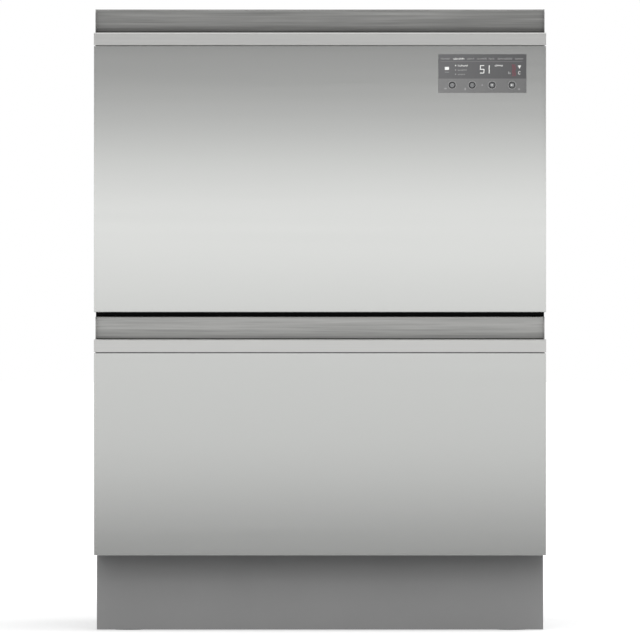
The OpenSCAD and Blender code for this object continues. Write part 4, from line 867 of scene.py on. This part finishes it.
def makeTopPanel():
    # galvanised top with two shallow pressed pockets
    low, high = cadSize("top_panel")
    inset, edge, middle = panel["inset"], high.x - rib["topEdge"], rib["topMiddle"]
    pockets = [(x0, low.y + inset, x1, high.y - inset - 1) for x0, x1 in ((middle, edge), (-edge, -middle))]
    bm = pressedSheet((low.x, low.y), (high.x, high.y), pockets, [], Matrix.Translation((0, 0, high.z)))
    turnOut(bm, 2, 1)
    finishPiece(bm, "top_sheet", "chassis", galvanised, ["top_panel"], wall=panel["thickness"])
    # plugged eyelets round the fixing holes
    eyelets = bmesh.new()
    for x in (-high.x + panel["eyelet"], high.x - panel["eyelet"]):
        for y in (low.y + panel["eyelet"], high.y - panel["eyelet"]):
            for profile in ([(2.75, -0.4), (2.75, 0.0), (3.0, 0.0), (4.6, -0.15), (4.6, -0.4)],
                            [(0, -1.6), (2.75, -1.6), (2.75, -0.4)]):
                turnedProfile(eyelets, profile, (x, y, high.z), segments=24)
    finishPiece(eyelets, "top_fixing_eyelets", "chassis", blackCoatAndGapShade)


rivet = {"first": 45, "pitch": 100, "above": 100, "web": 1.5}


def makeRunnerRivets():
    # along each chassis runner's web
    low, high = cadSize("chassis_runners")
    bm = bmesh.new()
    for side in sides:
        for way in (-1, 1):
            for y in range(int(low.y) + rivet["first"], int(high.y), rivet["pitch"]):
                turnedProfile(bm, [(0, 0.45), (1.6, 0.4), (2.3, 0.12), (2.5, 0)],
                              (way * (high.x - rivet["web"]), y, moduleBase[side] + rivet["above"]), (-way, 0, 0), 16)
    finishPiece(bm, "runner_rivets", "chassis", zincPlate)


screw = {"x": (-250.0, 0.0, 250.0), "z": (120.0, moduleBase["upper"] - 90, 802.0), "socket": 1.7, "deep": 1.1,
         "rim": (2.1, 1.45), "kickZ": 88.0, "kickRadius": 3.4, "kickProud": 0.25}


def makeScrews():
    # pan-head screws with a hexagon socket
    bm = bmesh.new()
    y = cadSize("rear_panel")[1].y
    for spot in [Vector((x, y, z)) for x in screw["x"] for z in screw["z"]]:
        turnedProfile(bm, [screw["rim"], (2.9, 1.35), (3.7, 0.95), (4.15, 0.35), (4.2, 0)], spot, (0, 1, 0), 24)
        turn = Matrix.Translation(spot) @ Vector((0, 1, 0)).to_track_quat("Z", "Y").to_matrix().to_4x4()
        socket = bmesh.ops.create_circle(bm, cap_ends=False, radius=screw["socket"], segments=6,
                                         matrix=turn @ Matrix.Translation((0, 0, 1.42)))["verts"]
        bmesh.ops.subdivide_edges(bm, edges=edgesOf(socket), cuts=3)
        ring = [e for e in bm.edges if not e.link_faces]
        rim = [e for e in edgesWhere(
            bm, lambda co: abs((co - spot).length - math.hypot(*screw["rim"])) < near, True) if e not in ring]
        bmesh.ops.bridge_loops(bm, edges=ring + rim)
        bmesh.ops.contextual_create(
            bm, geom=drawOut(bm, [e for e in ring if e.is_boundary], (0, -screw["deep"], 0)))
    finishPiece(bm, "pan_screws", "chassis", screwSteel, ["screws"])
    # flat heads in the kick strip, painted over with it
    r, proud = screw["kickRadius"], screw["kickProud"]
    flat = bmesh.new()
    for x in (-foot["x"], foot["x"]):
        turnedProfile(flat, [(0, proud), (r - 0.4, proud), (r, 0.05), (r, -0.1)],
                      (x, cadSize("kick_strip")[0].y, screw["kickZ"]), (0, -1, 0), 32)
    finishPiece(flat, "kick_screws", "chassis", kickPaint)


valve = {"x": -70.0, "z": 66.0, "radius": 13.2, "block": 25.6, "start": 24, "thread": 1.8}


def makeInletValve():
    # moulded body with its coil, and a threaded spigot behind the service panel
    low, high = cadSize("inlet_valve")
    bm = bmesh.new()
    roundedBox(bm, low, (high.x, low.y + valve["block"], high.z), 2.5, 3)
    r, start = valve["radius"], low.y + valve["start"]
    end = high.y - start
    profile = [(0, 6), (r - 4, 6), (r - 4, end), (r - 1, end), (r - 0.6, end - 0.6)]
    z = end - 1.6
    while z > 14:
        profile += [(r, z), (r - 1.1, z - 0.9)]
        z -= valve["thread"]
    profile += [(r, 12.6), (r + 2, 12), (r + 2, 0), (0, 0)]
    turnedProfile(bm, profile, (valve["x"], start, valve["z"]), (0, 1, 0), 40)
    finishPiece(bm, "valve_body", "chassis", valvePlastic, ["inlet_valve"])


makeSidePanels()
makeRearPanel()
makeTopPanel()
# the black front trim paints the shade in the gap between the drawers
for node, material, width in (
        ("base_pan", galvanised, 0.3), ("leg_beams", galvanised, 1.2), ("front_trim", blackCoatAndGapShade, 0.4),
        ("chassis_runners", zincPlate, 0.5), ("lid_actuators", armPlastic, 0.8),
        ("service_panel", servicePlastic, 0.8), ("control_module", housingPlastic, 0.5)):
    softenedCopy(node, material, width)
makeRunnerRivets()
makeScrews()
makeInletValve()
print("cabinet done")


# tubs, in millimetres above the module's base

tub = {"wall": 3.0, "corner": 37.0, "floor": 65.0, "rim": 305.0, "fillet": 16.0, "sump": 92.0, "sumpFloor": 40.0,
       "step": 1.2, "half": 269.0, "front": -245.0, "rear": 228.2, "window": (-100.0, 235.0, 60.0, 285.0)}


def makeTub(side):
    # a moulded tub: rolled rim, walls that step in, filleted floor and a round sump
    base = moduleBase[side]
    half, front, step, sump = tub["half"], tub["front"], tub["step"], tub["sump"]
    rim, floor, fillet = base + tub["rim"], base + tub["floor"], tub["fillet"]
    bm = bmesh.new()

    def level(grow, height, atFront=None):
        # the tub's outline grown outwards, at a height
        return roundedLoop(bm, (-half - grow, front - (grow if atFront is None else atFront)),
                           (half + grow, tub["rear"] + grow), tub["corner"] + grow, height)

    levels = [(15.0, rim - 3.4, 10.0), (15.0, rim - 1.0, 10.0), (14.0, rim, 9.2), (2.6, rim), (0.9, rim - 0.7),
              (0.0, rim - 2.4), (0.0, rim - 96), (-step, rim - 99), (-step - 0.6, floor + fillet)]
    for i in range(1, 6):
        angle = math.radians(90 * i / 5)
        levels.append((-step - 0.6 - fillet * (1 - math.cos(angle)),
                       floor + 0.5 + (fillet - 0.5) * (1 - math.sin(angle))))
    loops = [level(*spot) for spot in levels]
    middle = (front + tub["rear"]) / 2
    low = base + tub["sumpFloor"]
    for radius, height in ((sump + 60, floor), (sump + 3, floor - 0.2), (sump + 0.8, floor - 1.2),
                           (sump, floor - 3), (sump - 2, low + 6), (sump - 5, low + 1.5), (sump - 9, low), (23, low)):
        loops.append(edgesOf(bmesh.ops.create_circle(
            bm, cap_ends=False, radius=radius, segments=52, matrix=Matrix.Translation((0, middle, height)))["verts"]))
    bridgeAll(bm, loops)
    # window in the front wall for the dispenser
    x0, z0, x1, z1 = tub["window"]
    openWindow(bm, (x0, base + z0, x1, base + z1), (0, 2),
               lambda f: f.calc_center_median().y < front + 3 and abs(f.normal.y) > 0.9)
    bmesh.ops.recalc_face_normals(bm, faces=bm.faces)
    # the inner skin faces inwards, so that the wall grows outwards
    turnOut(bm, 0, -1, [f for f in bm.faces if f.calc_center_median().x > half - 3 and abs(f.normal.x) > 0.9
                        and base + 120 < f.calc_center_median().z < rim - 20])
    finishPiece(bm, side + "_tub_moulding", side + "_drawer", tubPlastic, [side + "_tub"], angle=50,
                wall=tub["wall"])


tubRib = {"half": 1.2, "round": 0.5, "sidePitch": 65, "sideFoot": 150, "pitch": 50}


def makeTubRibs(side):
    # moulded ribs under the rim and across the tub's underside
    base = moduleBase[side]
    top, half = base + tub["rim"] - 3.2, tubRib["half"]
    bm = bmesh.new()
    for x0, x1 in ((-279.0, -271.8), (271.8, 279.0)):
        for y in range(-190, 200, tubRib["sidePitch"]):
            roundedBox(bm, (x0, y - half, base + tubRib["sideFoot"]), (x1, y + half, top), tubRib["round"])
    for x in range(-200, 201, tubRib["pitch"]):
        for y0, y1, z0, z1 in ((231.0, 238.5, base + 90, top), (-205.0, -108.0, base + 56, base + 62.4),
                               (92.0, 190.0, base + 56, base + 62.4)):
            roundedBox(bm, (x - half, y0, z0), (x + half, y1, z1), tubRib["round"])
    finishPiece(bm, side + "_tub_ribs", side + "_drawer", tubPlastic)


# wash system

# stations of half the spray arm: distance from the hub, width and height
blade = {"stations": [(205, 3, 4), (204, 12, 8), (200, 18, 11), (193, 22, 12.4), (150, 28, 13), (90, 36, 13),
                      (34, 44, 13), (0, 46, 13)],
         "thick": 13.0, "jets": 5, "firstJet": 40, "jetPitch": 28, "stagger": 3, "jetRise": 12.2}


def makeSprayArm(side):
    # a hollow moulding: tapering round-edged blade, domed hub and a row of nozzles
    low, high = cadSize(side + "_spray_arm")
    middle, z = (low.y + high.y) / 2, low.z
    across = Matrix.Rotation(math.radians(90), 4, "Y")
    bm = bmesh.new()
    half = blade["stations"]
    stations = [(-x, width, height) for x, width, height in half] + half[-2::-1]
    bridgeAll(bm, [edgesOf(bmesh.ops.create_circle(
        bm, cap_ends=abs(x) == half[0][0], radius=0.5, segments=20,
        matrix=Matrix.Translation((x, middle, z + blade["thick"] / 2)) @ Matrix.Diagonal((1, width, height, 1))
        @ across)["verts"]) for x, width, height in stations])
    turnedProfile(bm, [(0, 19), (9, 18.8), (20, 17.6), (26, 15.6), (29.2, 12), (30, 8), (30, 3), (28, 0), (0, 0)],
                  (0, middle, z), segments=40)
    for way in (-1, 1):
        for i in range(1, blade["jets"] + 1):
            spot = (way * (blade["firstJet"] + i * blade["jetPitch"]),
                    middle + way * blade["stagger"] * (1 if i % 2 else -1), z + blade["jetRise"])
            turnedProfile(bm, [(0, 0.1), (1.6, 0.1), (1.6, 0.9), (3.4, 0.7), (4.4, -0.6)], spot, segments=20)
    finishPiece(bm, side + "_spray_blade", side + "_spray_arm", sprayPlastic, [side + "_spray_arm"], angle=50)


def makeFilterRim(side):
    # rolled edge round the filter plate and a raised ring round its middle
    low, high = cadSize(side + "_filter_plate")
    bm = bmesh.new()
    for profile in ([(146, 2.9), (147, 4.2), (149, 4.6), (150.2, 3.8), (150.2, 0.4), (148, 0.2), (146, 0.6)],
                    [(96, 2.9), (97, 3.7), (99, 3.7), (100, 2.9)]):
        turnedProfile(bm, profile, (0, (low.y + high.y) / 2, low.z), segments=96)
    finishPiece(bm, side + "_filter_rim", side + "_drawer", zincPlate)


for side in sides:
    makeTub(side)
    makeTubRibs(side)
    makeSprayArm(side)
    makeFilterRim(side)
    for node, material, width in (
            ("front_plate", galvanised, 0.5), ("drawer_runners", zincPlate, 0.5), ("middle_runners", zincPlate, 0.4),
            ("filter_plate", filterSteel, 0.4), ("drain_filter", filterPlastic, 0.5),
            ("pump_motor", motorPlastic, 1.2), ("lid", lidPlastic, 0.8), ("lid_seal", sealRubber, 1.2),
            ("lid_arms", armPlastic, 0.6)):
        softenedCopy(side + "_" + node, material, width)
print("tubs and wash system done")


# baskets, in millimetres above the module's base

rack = {"half": 256.0, "front": -232.0, "rear": 215.2, "top": 225.0, "floor": 120.0, "frame": 2.3, "thin": 1.6,
        "pitch": 44.0, "bend": 16.0, "wireBend": 7, "border": 30, "tine": 62.0, "tinePitch": 29.0,
        "rows": (-185.0, -125.0, 20.0, 75.0), "rowFront": -202.0, "rowRear": 185.2, "foldX": -60.0, "foldZ": 126.5}
cupShelf = {"low": (-249.8, -172.0), "high": (-175.8, 175.2), "z": 221.0, "bend": 12, "border": 24}


def spread(low, high, pitch):
    # even places from low to high, about a pitch apart
    count = max(1, round((high - low) / pitch))
    return [low + (high - low) * i / count for i in range(count + 1)]


def levelRing(low, high, z, bend, steps):
    # a closed wire round a level rectangle
    corners = [(low[0], low[1], z), (high[0], low[1], z), (high[0], high[1], z), (low[0], high[1], z)]
    return bentPath(corners, bend, steps, closed=True), True, False


def tineRow(x, z):
    # a rod along the drawer with upright round-tipped tines
    wires = [([(x, rack["rowFront"], z), (x, rack["rowRear"], z)], False, False)]
    for y in spread(rack["rowFront"] + 6, rack["rowRear"] - 6, rack["tinePitch"]):
        wires.append(([(x, y, z), (x, y, z + rack["tine"])], False, True))
    return wires


def finishWires(wires, node, name, body, material):
    # groups of wires, each with its radius and resolution, made into one piece
    bm = bmesh.new()
    for group, radius, resolution in wires:
        addWires(bm, group, radius, resolution)
    finishPiece(bm, name, body, material, [node], angle=60)


def makeBasket(side):
    # heavy rings at the top and the floor, thin wires across and along, and four fixed rows of tines
    base = moduleBase[side]
    top, floor, border = base + rack["top"], base + rack["floor"], rack["border"]
    half, front, rear = rack["half"], rack["front"], rack["rear"]

    def ring(inset, height):
        return levelRing((inset - half, front + inset), (half - inset, rear - inset), height, rack["bend"], 8)

    inner = rack["frame"] + rack["thin"] - 0.4
    xs = spread(-half + border, half - border, rack["pitch"])
    ys = spread(front + border, rear - border, rack["pitch"])
    wires = [ring(inner * 0.2, (top + floor) / 2)]
    # U-shaped wires across, and over them those along the basket
    shapes = [[(-half + inner, y, top), (-half + inner, y, floor), (half - inner, y, floor), (half - inner, y, top)]
              for y in ys]
    over = floor + 2.8
    shapes += [[(x, front + inner, top), (x, front + inner, over), (x, rear - inner, over), (x, rear - inner, top)]
               for x in xs]
    wires += [(bentPath(corners, rack["wireBend"]), False, False) for corners in shapes]
    for x in rack["rows"]:
        wires += tineRow(x, floor + 3.5)
    finishWires([([ring(0, top), ring(0, floor)], rack["frame"], 4), (wires, rack["thin"], 2)], side + "_basket",
                side + "_basket_wires", side + "_drawer", coatedWire)
    # feet, rod clips and rack brackets
    fittings = bmesh.new()
    for x in (xs[0], xs[-1]):
        for y in (ys[0], ys[-1]):
            turnedProfile(fittings, [(0, 0), (4, 0), (5, 1), (5, 49), (3.6, 51), (0, 51)],
                          (x, y, base + 65.3), segments=20)
    for y in (ys[1], ys[-2]):
        roundedBox(fittings, (-63.6, y - 3, floor + 1.9), (-56.4, y + 3, base + 127.6), 0.8)
    for y in (-152.0, 155.2):
        roundedBox(fittings, (-half + 2.6, y - 4, base + 217.4), (-246.2, y + 4, base + 224.6), 0.8)
    finishPiece(fittings, side + "_basket_fittings", side + "_drawer", filterPlastic)


def makeFoldingWires(side):
    # the fold-down row of tines and the fold-up cup shelf
    base = moduleBase[side]
    finishWires([(tineRow(rack["foldX"], base + rack["foldZ"]), rack["thin"], 2)], side + "_tine_row",
                side + "_fold_tines", side + "_tine_row", coatedTine)
    (x0, y0), (x1, y1) = cupShelf["low"], cupShelf["high"]
    z, middle, border = base + cupShelf["z"], (x0 + x1) / 2, cupShelf["border"]
    wires = [levelRing((x0, y0), (x1, y1), z, cupShelf["bend"], 6)]
    ends = [((x0, y, z), (x1, y, z)) for y in spread(y0 + border, y1 - border, rack["pitch"])]
    wires += [(pair, False, False) for pair in ends + [((middle, y0, z), (middle, y1, z))]]
    finishWires([(wires, rack["thin"], 2)], side + "_cup_rack", side + "_cup_shelf", side + "_cup_rack", coatedTine)


cutlery = {"wall": 2.4, "corner": 7.0, "slot": 8.0, "web": 10, "skirt": 14.0, "band": 16.0, "grid": 9.5}


def makeCutleryBasket(side):
    # slotted box with round corners, a divider and a grid over its base
    low, high = cadSize(side + "_cutlery_basket")
    wall, slot = cutlery["wall"], cutlery["slot"]
    bm = bmesh.new()
    lo, hi = (low.x + wall, low.y + wall), (high.x - wall, high.y - wall)
    heights = [low.z + wall, low.z + cutlery["skirt"], high.z - cutlery["band"], high.z]
    bridgeAll(bm, [roundedLoop(bm, lo, hi, cutlery["corner"], z, 6) for z in heights])
    for axis in (0, 1):
        for spot in spread(lo[axis] + 14, hi[axis] - 14, slot + cutlery["web"]):
            openWindow(bm, (spot - slot / 2, heights[1], spot + slot / 2, heights[2]), (axis, 2),
                       lambda f: abs(f.normal[1 - axis]) > 0.9)
    bmesh.ops.recalc_face_normals(bm, faces=bm.faces)
    turnOut(bm, 0, -1, [f for f in bm.faces if f.calc_center_median().x > hi[0] - 0.1 and abs(f.normal.x) > 0.9])
    finishPiece(bm, side + "_cutlery_walls", side + "_drawer", cutleryPlastic, [side + "_cutlery_basket"],
                angle=50, wall=wall)
    inside = bmesh.new()
    floor, mid = low.z + wall, (low.y + high.y) / 2
    roundedBox(inside, (low.x + 0.4, low.y + 0.4, low.z), (high.x - 0.4, high.y - 0.4, floor), 0.9)
    roundedBox(inside, (low.x + 2.5, mid - 1.2, floor), (high.x - 2.5, mid + 1.2, high.z - 1), 0.6)
    for x in spread(low.x + 8, high.x - 8, cutlery["grid"]):
        roundedBox(inside, (x - 0.8, low.y + 3, floor), (x + 0.8, high.y - 3, low.z + 5.2), 0.3)
    finishPiece(inside, side + "_cutlery_inside", side + "_drawer", cutleryPlastic)


# detergent dispenser

doser = {"x0": -108.0, "x1": 68.0, "cup": (-90.0, 242.0, -26.0, 278.0), "capX": 28.0, "capZ": 260.0, "seat": 15.1,
         "well": 8, "hingeZ": 237, "hinge": 2.1, "knob": 18.9}


def makeDispenser(side):
    # front plate with its cup opening and the seat of the cap
    low, high = cadSize(side + "_dispenser")
    base, y = moduleBase[side], high.y
    x0, x1 = doser["x0"], doser["x1"]
    capX, capZ = doser["capX"], base + doser["capZ"]
    cup = (doser["cup"][0], base + doser["cup"][1], doser["cup"][2], base + doser["cup"][3])
    bm = bmesh.new()
    fillPlate(bm, y, [(x0, low.z, x1, high.z), cup], [(capX, capZ, doser["seat"])])
    wells = drawOut(bm, [e for e in bm.edges if e.is_boundary], (0, -doser["well"], 0))
    # the wells' floors
    for inside in (lambda co: cup[0] - 1 < co.x < cup[2] + 1,
                   lambda co: (co.x - capX) ** 2 + (co.z - capZ) ** 2 < 400):
        bmesh.ops.contextual_create(bm, geom=[e for e in wells if all(
            inside(v.co) and cup[1] - 5 < v.co.z < cup[3] + 5 for v in e.verts)])
    roundEdges(bm, foldsOf(bm, 1, lambda co: abs(co.y - y) < near), 1.0, 3)
    # body that passes through the wall
    roundedBox(bm, (x0 + 9, low.y, low.z + 7), (x1 - 9, y - 9, high.z - 7), 1.5)
    finishPiece(bm, side + "_dispenser_body", side + "_drawer", dispenserPlastic, [side + "_dispenser"])


def makeDetergentDoor(side):
    # flap with its hinge barrel, catch and grip lines
    node = side + "_detergent_door"
    low, high = cadSize(node)
    base, mid, barrel = moduleBase[side], (low.x + high.x) / 2, doser["hinge"]
    door = bmesh.new()
    foot = base + doser["hingeZ"]
    roundedBox(door, (low.x, low.y, foot), (high.x, low.y + 3, high.z), 1.1, 3)
    verts = addBar(door, (low.x, low.y + barrel, foot), (high.x, low.y + barrel, foot), barrel)
    roundEdges(door, [e for e in edgesOf(verts) if abs(e.verts[0].co.x - e.verts[1].co.x) < near], 0.4, 2)
    roundedBox(door, (mid - 9, low.y + 2.5, high.z - 9), (mid + 9, high.y, high.z - 4), 1.0, 3)
    for x in range(-24, 25, 8):
        roundedBox(door, (mid + x - 1, low.y + 2.8, base + 246), (mid + x + 1, low.y + 3.5, high.z - 14), 0.3)
    finishPiece(door, side + "_detergent_flap", node, dispenserPlastic, [node])


def makeRinseCap(side):
    # round knob with a grip bar and a knurled rim
    low, high = cadSize(side + "_rinse_cap")
    x, z = doser["capX"], moduleBase[side] + doser["capZ"]
    cap = bmesh.new()
    turnedProfile(cap, [(0, 0), (14.4, 0), (15, 0.6), (15, 6), (18.2, 6), (19, 6.8), (19, 9), (18, 10), (0, 10)],
                  (x, low.y, z), (0, 1, 0), 48)
    roundedBox(cap, (x - 15, low.y + 9.8, z - 2.5), (x + 15, high.y, z + 2.5), 1.0, 3)
    for i in range(24):
        angle = math.radians(15 * i)
        spot = (x + doser["knob"] * math.cos(angle), z + doser["knob"] * math.sin(angle))
        addBar(cap, (spot[0], low.y + 6.6, spot[1]), (spot[0], low.y + 9.4, spot[1]), 0.7, 8)
    finishPiece(cap, side + "_rinse_knob", side + "_rinse_cap", capPlastic, [side + "_rinse_cap"])


for side in sides:
    makeBasket(side)
    makeFoldingWires(side)
    makeCutleryBasket(side)
    makeDispenser(side)
    makeDetergentDoor(side)
    makeRinseCap(side)
print("baskets and dispensers done")


# camera, floor, cards and lamps

scene.view_settings.view_transform = "Standard"
view = {"distance": 12.0, "height": 0.4128, "width": 0.8474, "sensor": 36.0}
studio = {"floor": "#cccccc", "half": 60, "lift": {"near": 0.5, "far": 1.0, "from": 0.7, "to": 2.4}, "world": 0.42,
          "card": {"half": 2.6, "top": 1.4, "y": -1.1, "level": 1.0},
          "apron": {"half": 0.8, "from": -0.99, "to": -0.33, "z": 0.002, "level": 0.25},
          # brightness of the card by height, in metres
          "stops": [(0.0, 0.098), (0.1, 0.321), (0.2, 1.055), (0.3, 0.861), (0.4, 0.844), (0.5, 1.162),
                    (0.56, 1.718), (0.62, 1.161), (0.7, 0.509), (0.78, 0.36), (0.9, 0.257), (1.1, 0.311),
                    (1.4, 0.415)]}


def makeCamera():
    # a long lens straight in front, at the middle of the picture's height
    camera = bpy.data.cameras.new("viewpoint")
    camera.sensor_width = view["sensor"]
    camera.lens = view["sensor"] * view["distance"] / view["width"]
    camera.clip_end = 60
    holder = bpy.data.objects.new("viewpoint", camera)
    scene.collection.objects.link(holder)
    holder.location = (0, cadSize("lower_front_panel")[0].y * mm - view["distance"], view["height"])
    holder.rotation_euler = (math.radians(90), 0, 0)
    scene.camera = holder


def shownWhite(tree, strength):
    # how much white is added for what the camera, metal and glass see
    path = addNode(tree, "LightPath")
    seen = path.outputs["Is Camera Ray"]
    for ray in ("Is Glossy Ray", "Is Transmission Ray"):
        seen = addNode(tree, "Math", {"operation": "MAXIMUM"}, {0: seen, 1: path.outputs[ray]}).outputs[0]
    return addNode(tree, "Math", {"operation": "MULTIPLY"}, {0: seen, 1: strength}).outputs[0]


def stagePiece(name, materialName, bm):
    # puts a finished studio mesh on the stage with an empty material
    mesh = bpy.data.meshes.new(name)
    bm.to_mesh(mesh)
    bm.free()
    piece = bpy.data.objects.new(name, mesh)
    scene.collection.objects.link(piece)
    material = bpy.data.materials.new(materialName)
    mesh.materials.append(material)
    return piece, emptyTree(material)


def makeFloor():
    # a wide pale floor that shows white and keeps the object's shadow
    bm = bmesh.new()
    addPlate(bm, (-studio["half"],) * 2, (studio["half"],) * 2)
    tree = stagePiece("studio_floor", "paleStudioFloor", bm)[1]
    matt = addNode(tree, "BsdfDiffuse", inputs={"Color": linear(studio["floor"])})
    # the lift grows away from the object, where the lamps fade
    place = addNode(tree, "TexCoord").outputs["Object"]
    away = addNode(tree, "VectorMath", {"operation": "LENGTH"}, {0: place})
    lift = studio["lift"]
    level = addNode(tree, "MapRange", {"interpolation_type": "SMOOTHSTEP"}, {
        "Value": away.outputs["Value"], "From Min": lift["from"], "From Max": lift["to"],
        "To Min": lift["near"], "To Max": lift["far"]})
    glow = addNode(tree, "Emission", inputs={"Color": (1, 1, 1, 1), "Strength": shownWhite(tree, level.outputs[0])})
    both = addNode(tree, "AddShader", inputs={0: matt.outputs[0], 1: glow.outputs[0]})
    addNode(tree, "OutputMaterial", inputs={"Surface": both.outputs[0]})


def makeWorld():
    scene.world = bpy.data.worlds.new("studio")
    tree = emptyTree(scene.world)
    white = addNode(tree, "Math", {"operation": "MAXIMUM"}, {0: shownWhite(tree, 1.0), 1: studio["world"]})
    sky = addNode(tree, "Background", inputs={"Color": (1, 1, 1, 1), "Strength": white.outputs[0]})
    addNode(tree, "OutputWorld", inputs={"Surface": sky.outputs[0]})


def makeCard():
    # a graduated light card in front of the object, which gives the fronts their level bands of light and dark
    size = studio["card"]
    bm = bmesh.new()
    addPlate(bm, (-size["half"], 0), (size["half"], size["top"]), 0, Matrix.Translation((0, size["y"], 0)) @ upright)
    card, tree = stagePiece("light_card", "graduatedLightCard", bm)
    place = addNode(tree, "TexCoord").outputs["Object"]
    height = addNode(tree, "SeparateXYZ", inputs={0: place}).outputs[2]
    along = addNode(tree, "MapRange", inputs={"Value": height, "From Max": size["top"]})
    stops = [(spot / size["top"], (level, level, level, 1)) for spot, level in studio["stops"]]
    ramp = addNode(tree, "ValToRGB", {"stops": stops}, {0: along.outputs[0]})
    ramp.color_ramp.interpolation = "EASE"
    glow = addNode(tree, "Emission", inputs={"Color": ramp.outputs[0], "Strength": size["level"]})
    addNode(tree, "OutputMaterial", inputs={"Surface": glow.outputs[0]})
    # a dark apron on the floor, which the foot of the lower front mirrors
    size = studio["apron"]
    bm = bmesh.new()
    addPlate(bm, (-size["half"], size["from"]), (size["half"], size["to"]), size["z"])
    apron, tree = stagePiece("dark_apron", "darkFloorApron", bm)
    glow = addNode(tree, "Emission", inputs={"Color": (1, 1, 1, 1), "Strength": size["level"]})
    addNode(tree, "OutputMaterial", inputs={"Surface": glow.outputs[0]})
    card.visible_camera = card.visible_shadow = False
    apron.visible_camera = apron.visible_shadow = apron.visible_diffuse = False


def addLamp(name, spot, target, size, watts):
    # a soft rectangular lamp that points at its target and shows in no reflection
    lamp = bpy.data.lights.new(name, "AREA")
    lamp.shape = "RECTANGLE"
    lamp.size, lamp.size_y = size
    lamp.energy = watts
    holder = bpy.data.objects.new(name, lamp)
    scene.collection.objects.link(holder)
    holder.location = spot
    holder.rotation_euler = (Vector(target) - Vector(spot)).to_track_quat("-Z", "Y").to_euler()
    holder.visible_glossy = False


makeCamera()
makeFloor()
makeWorld()
makeCard()
addLamp("key_front", (-0.4, -3.5, 2.0), (0, 0, 0.3), (3.6, 2.8), 84)
addLamp("top", (0.3, -0.4, 3.4), (0, 0, 0), (2.6, 2.6), 45)
addLamp("fill_behind", (1.6, 3.0, 1.8), (0, 0, 0.4), (2.6, 2.0), 55)
print("stage done")
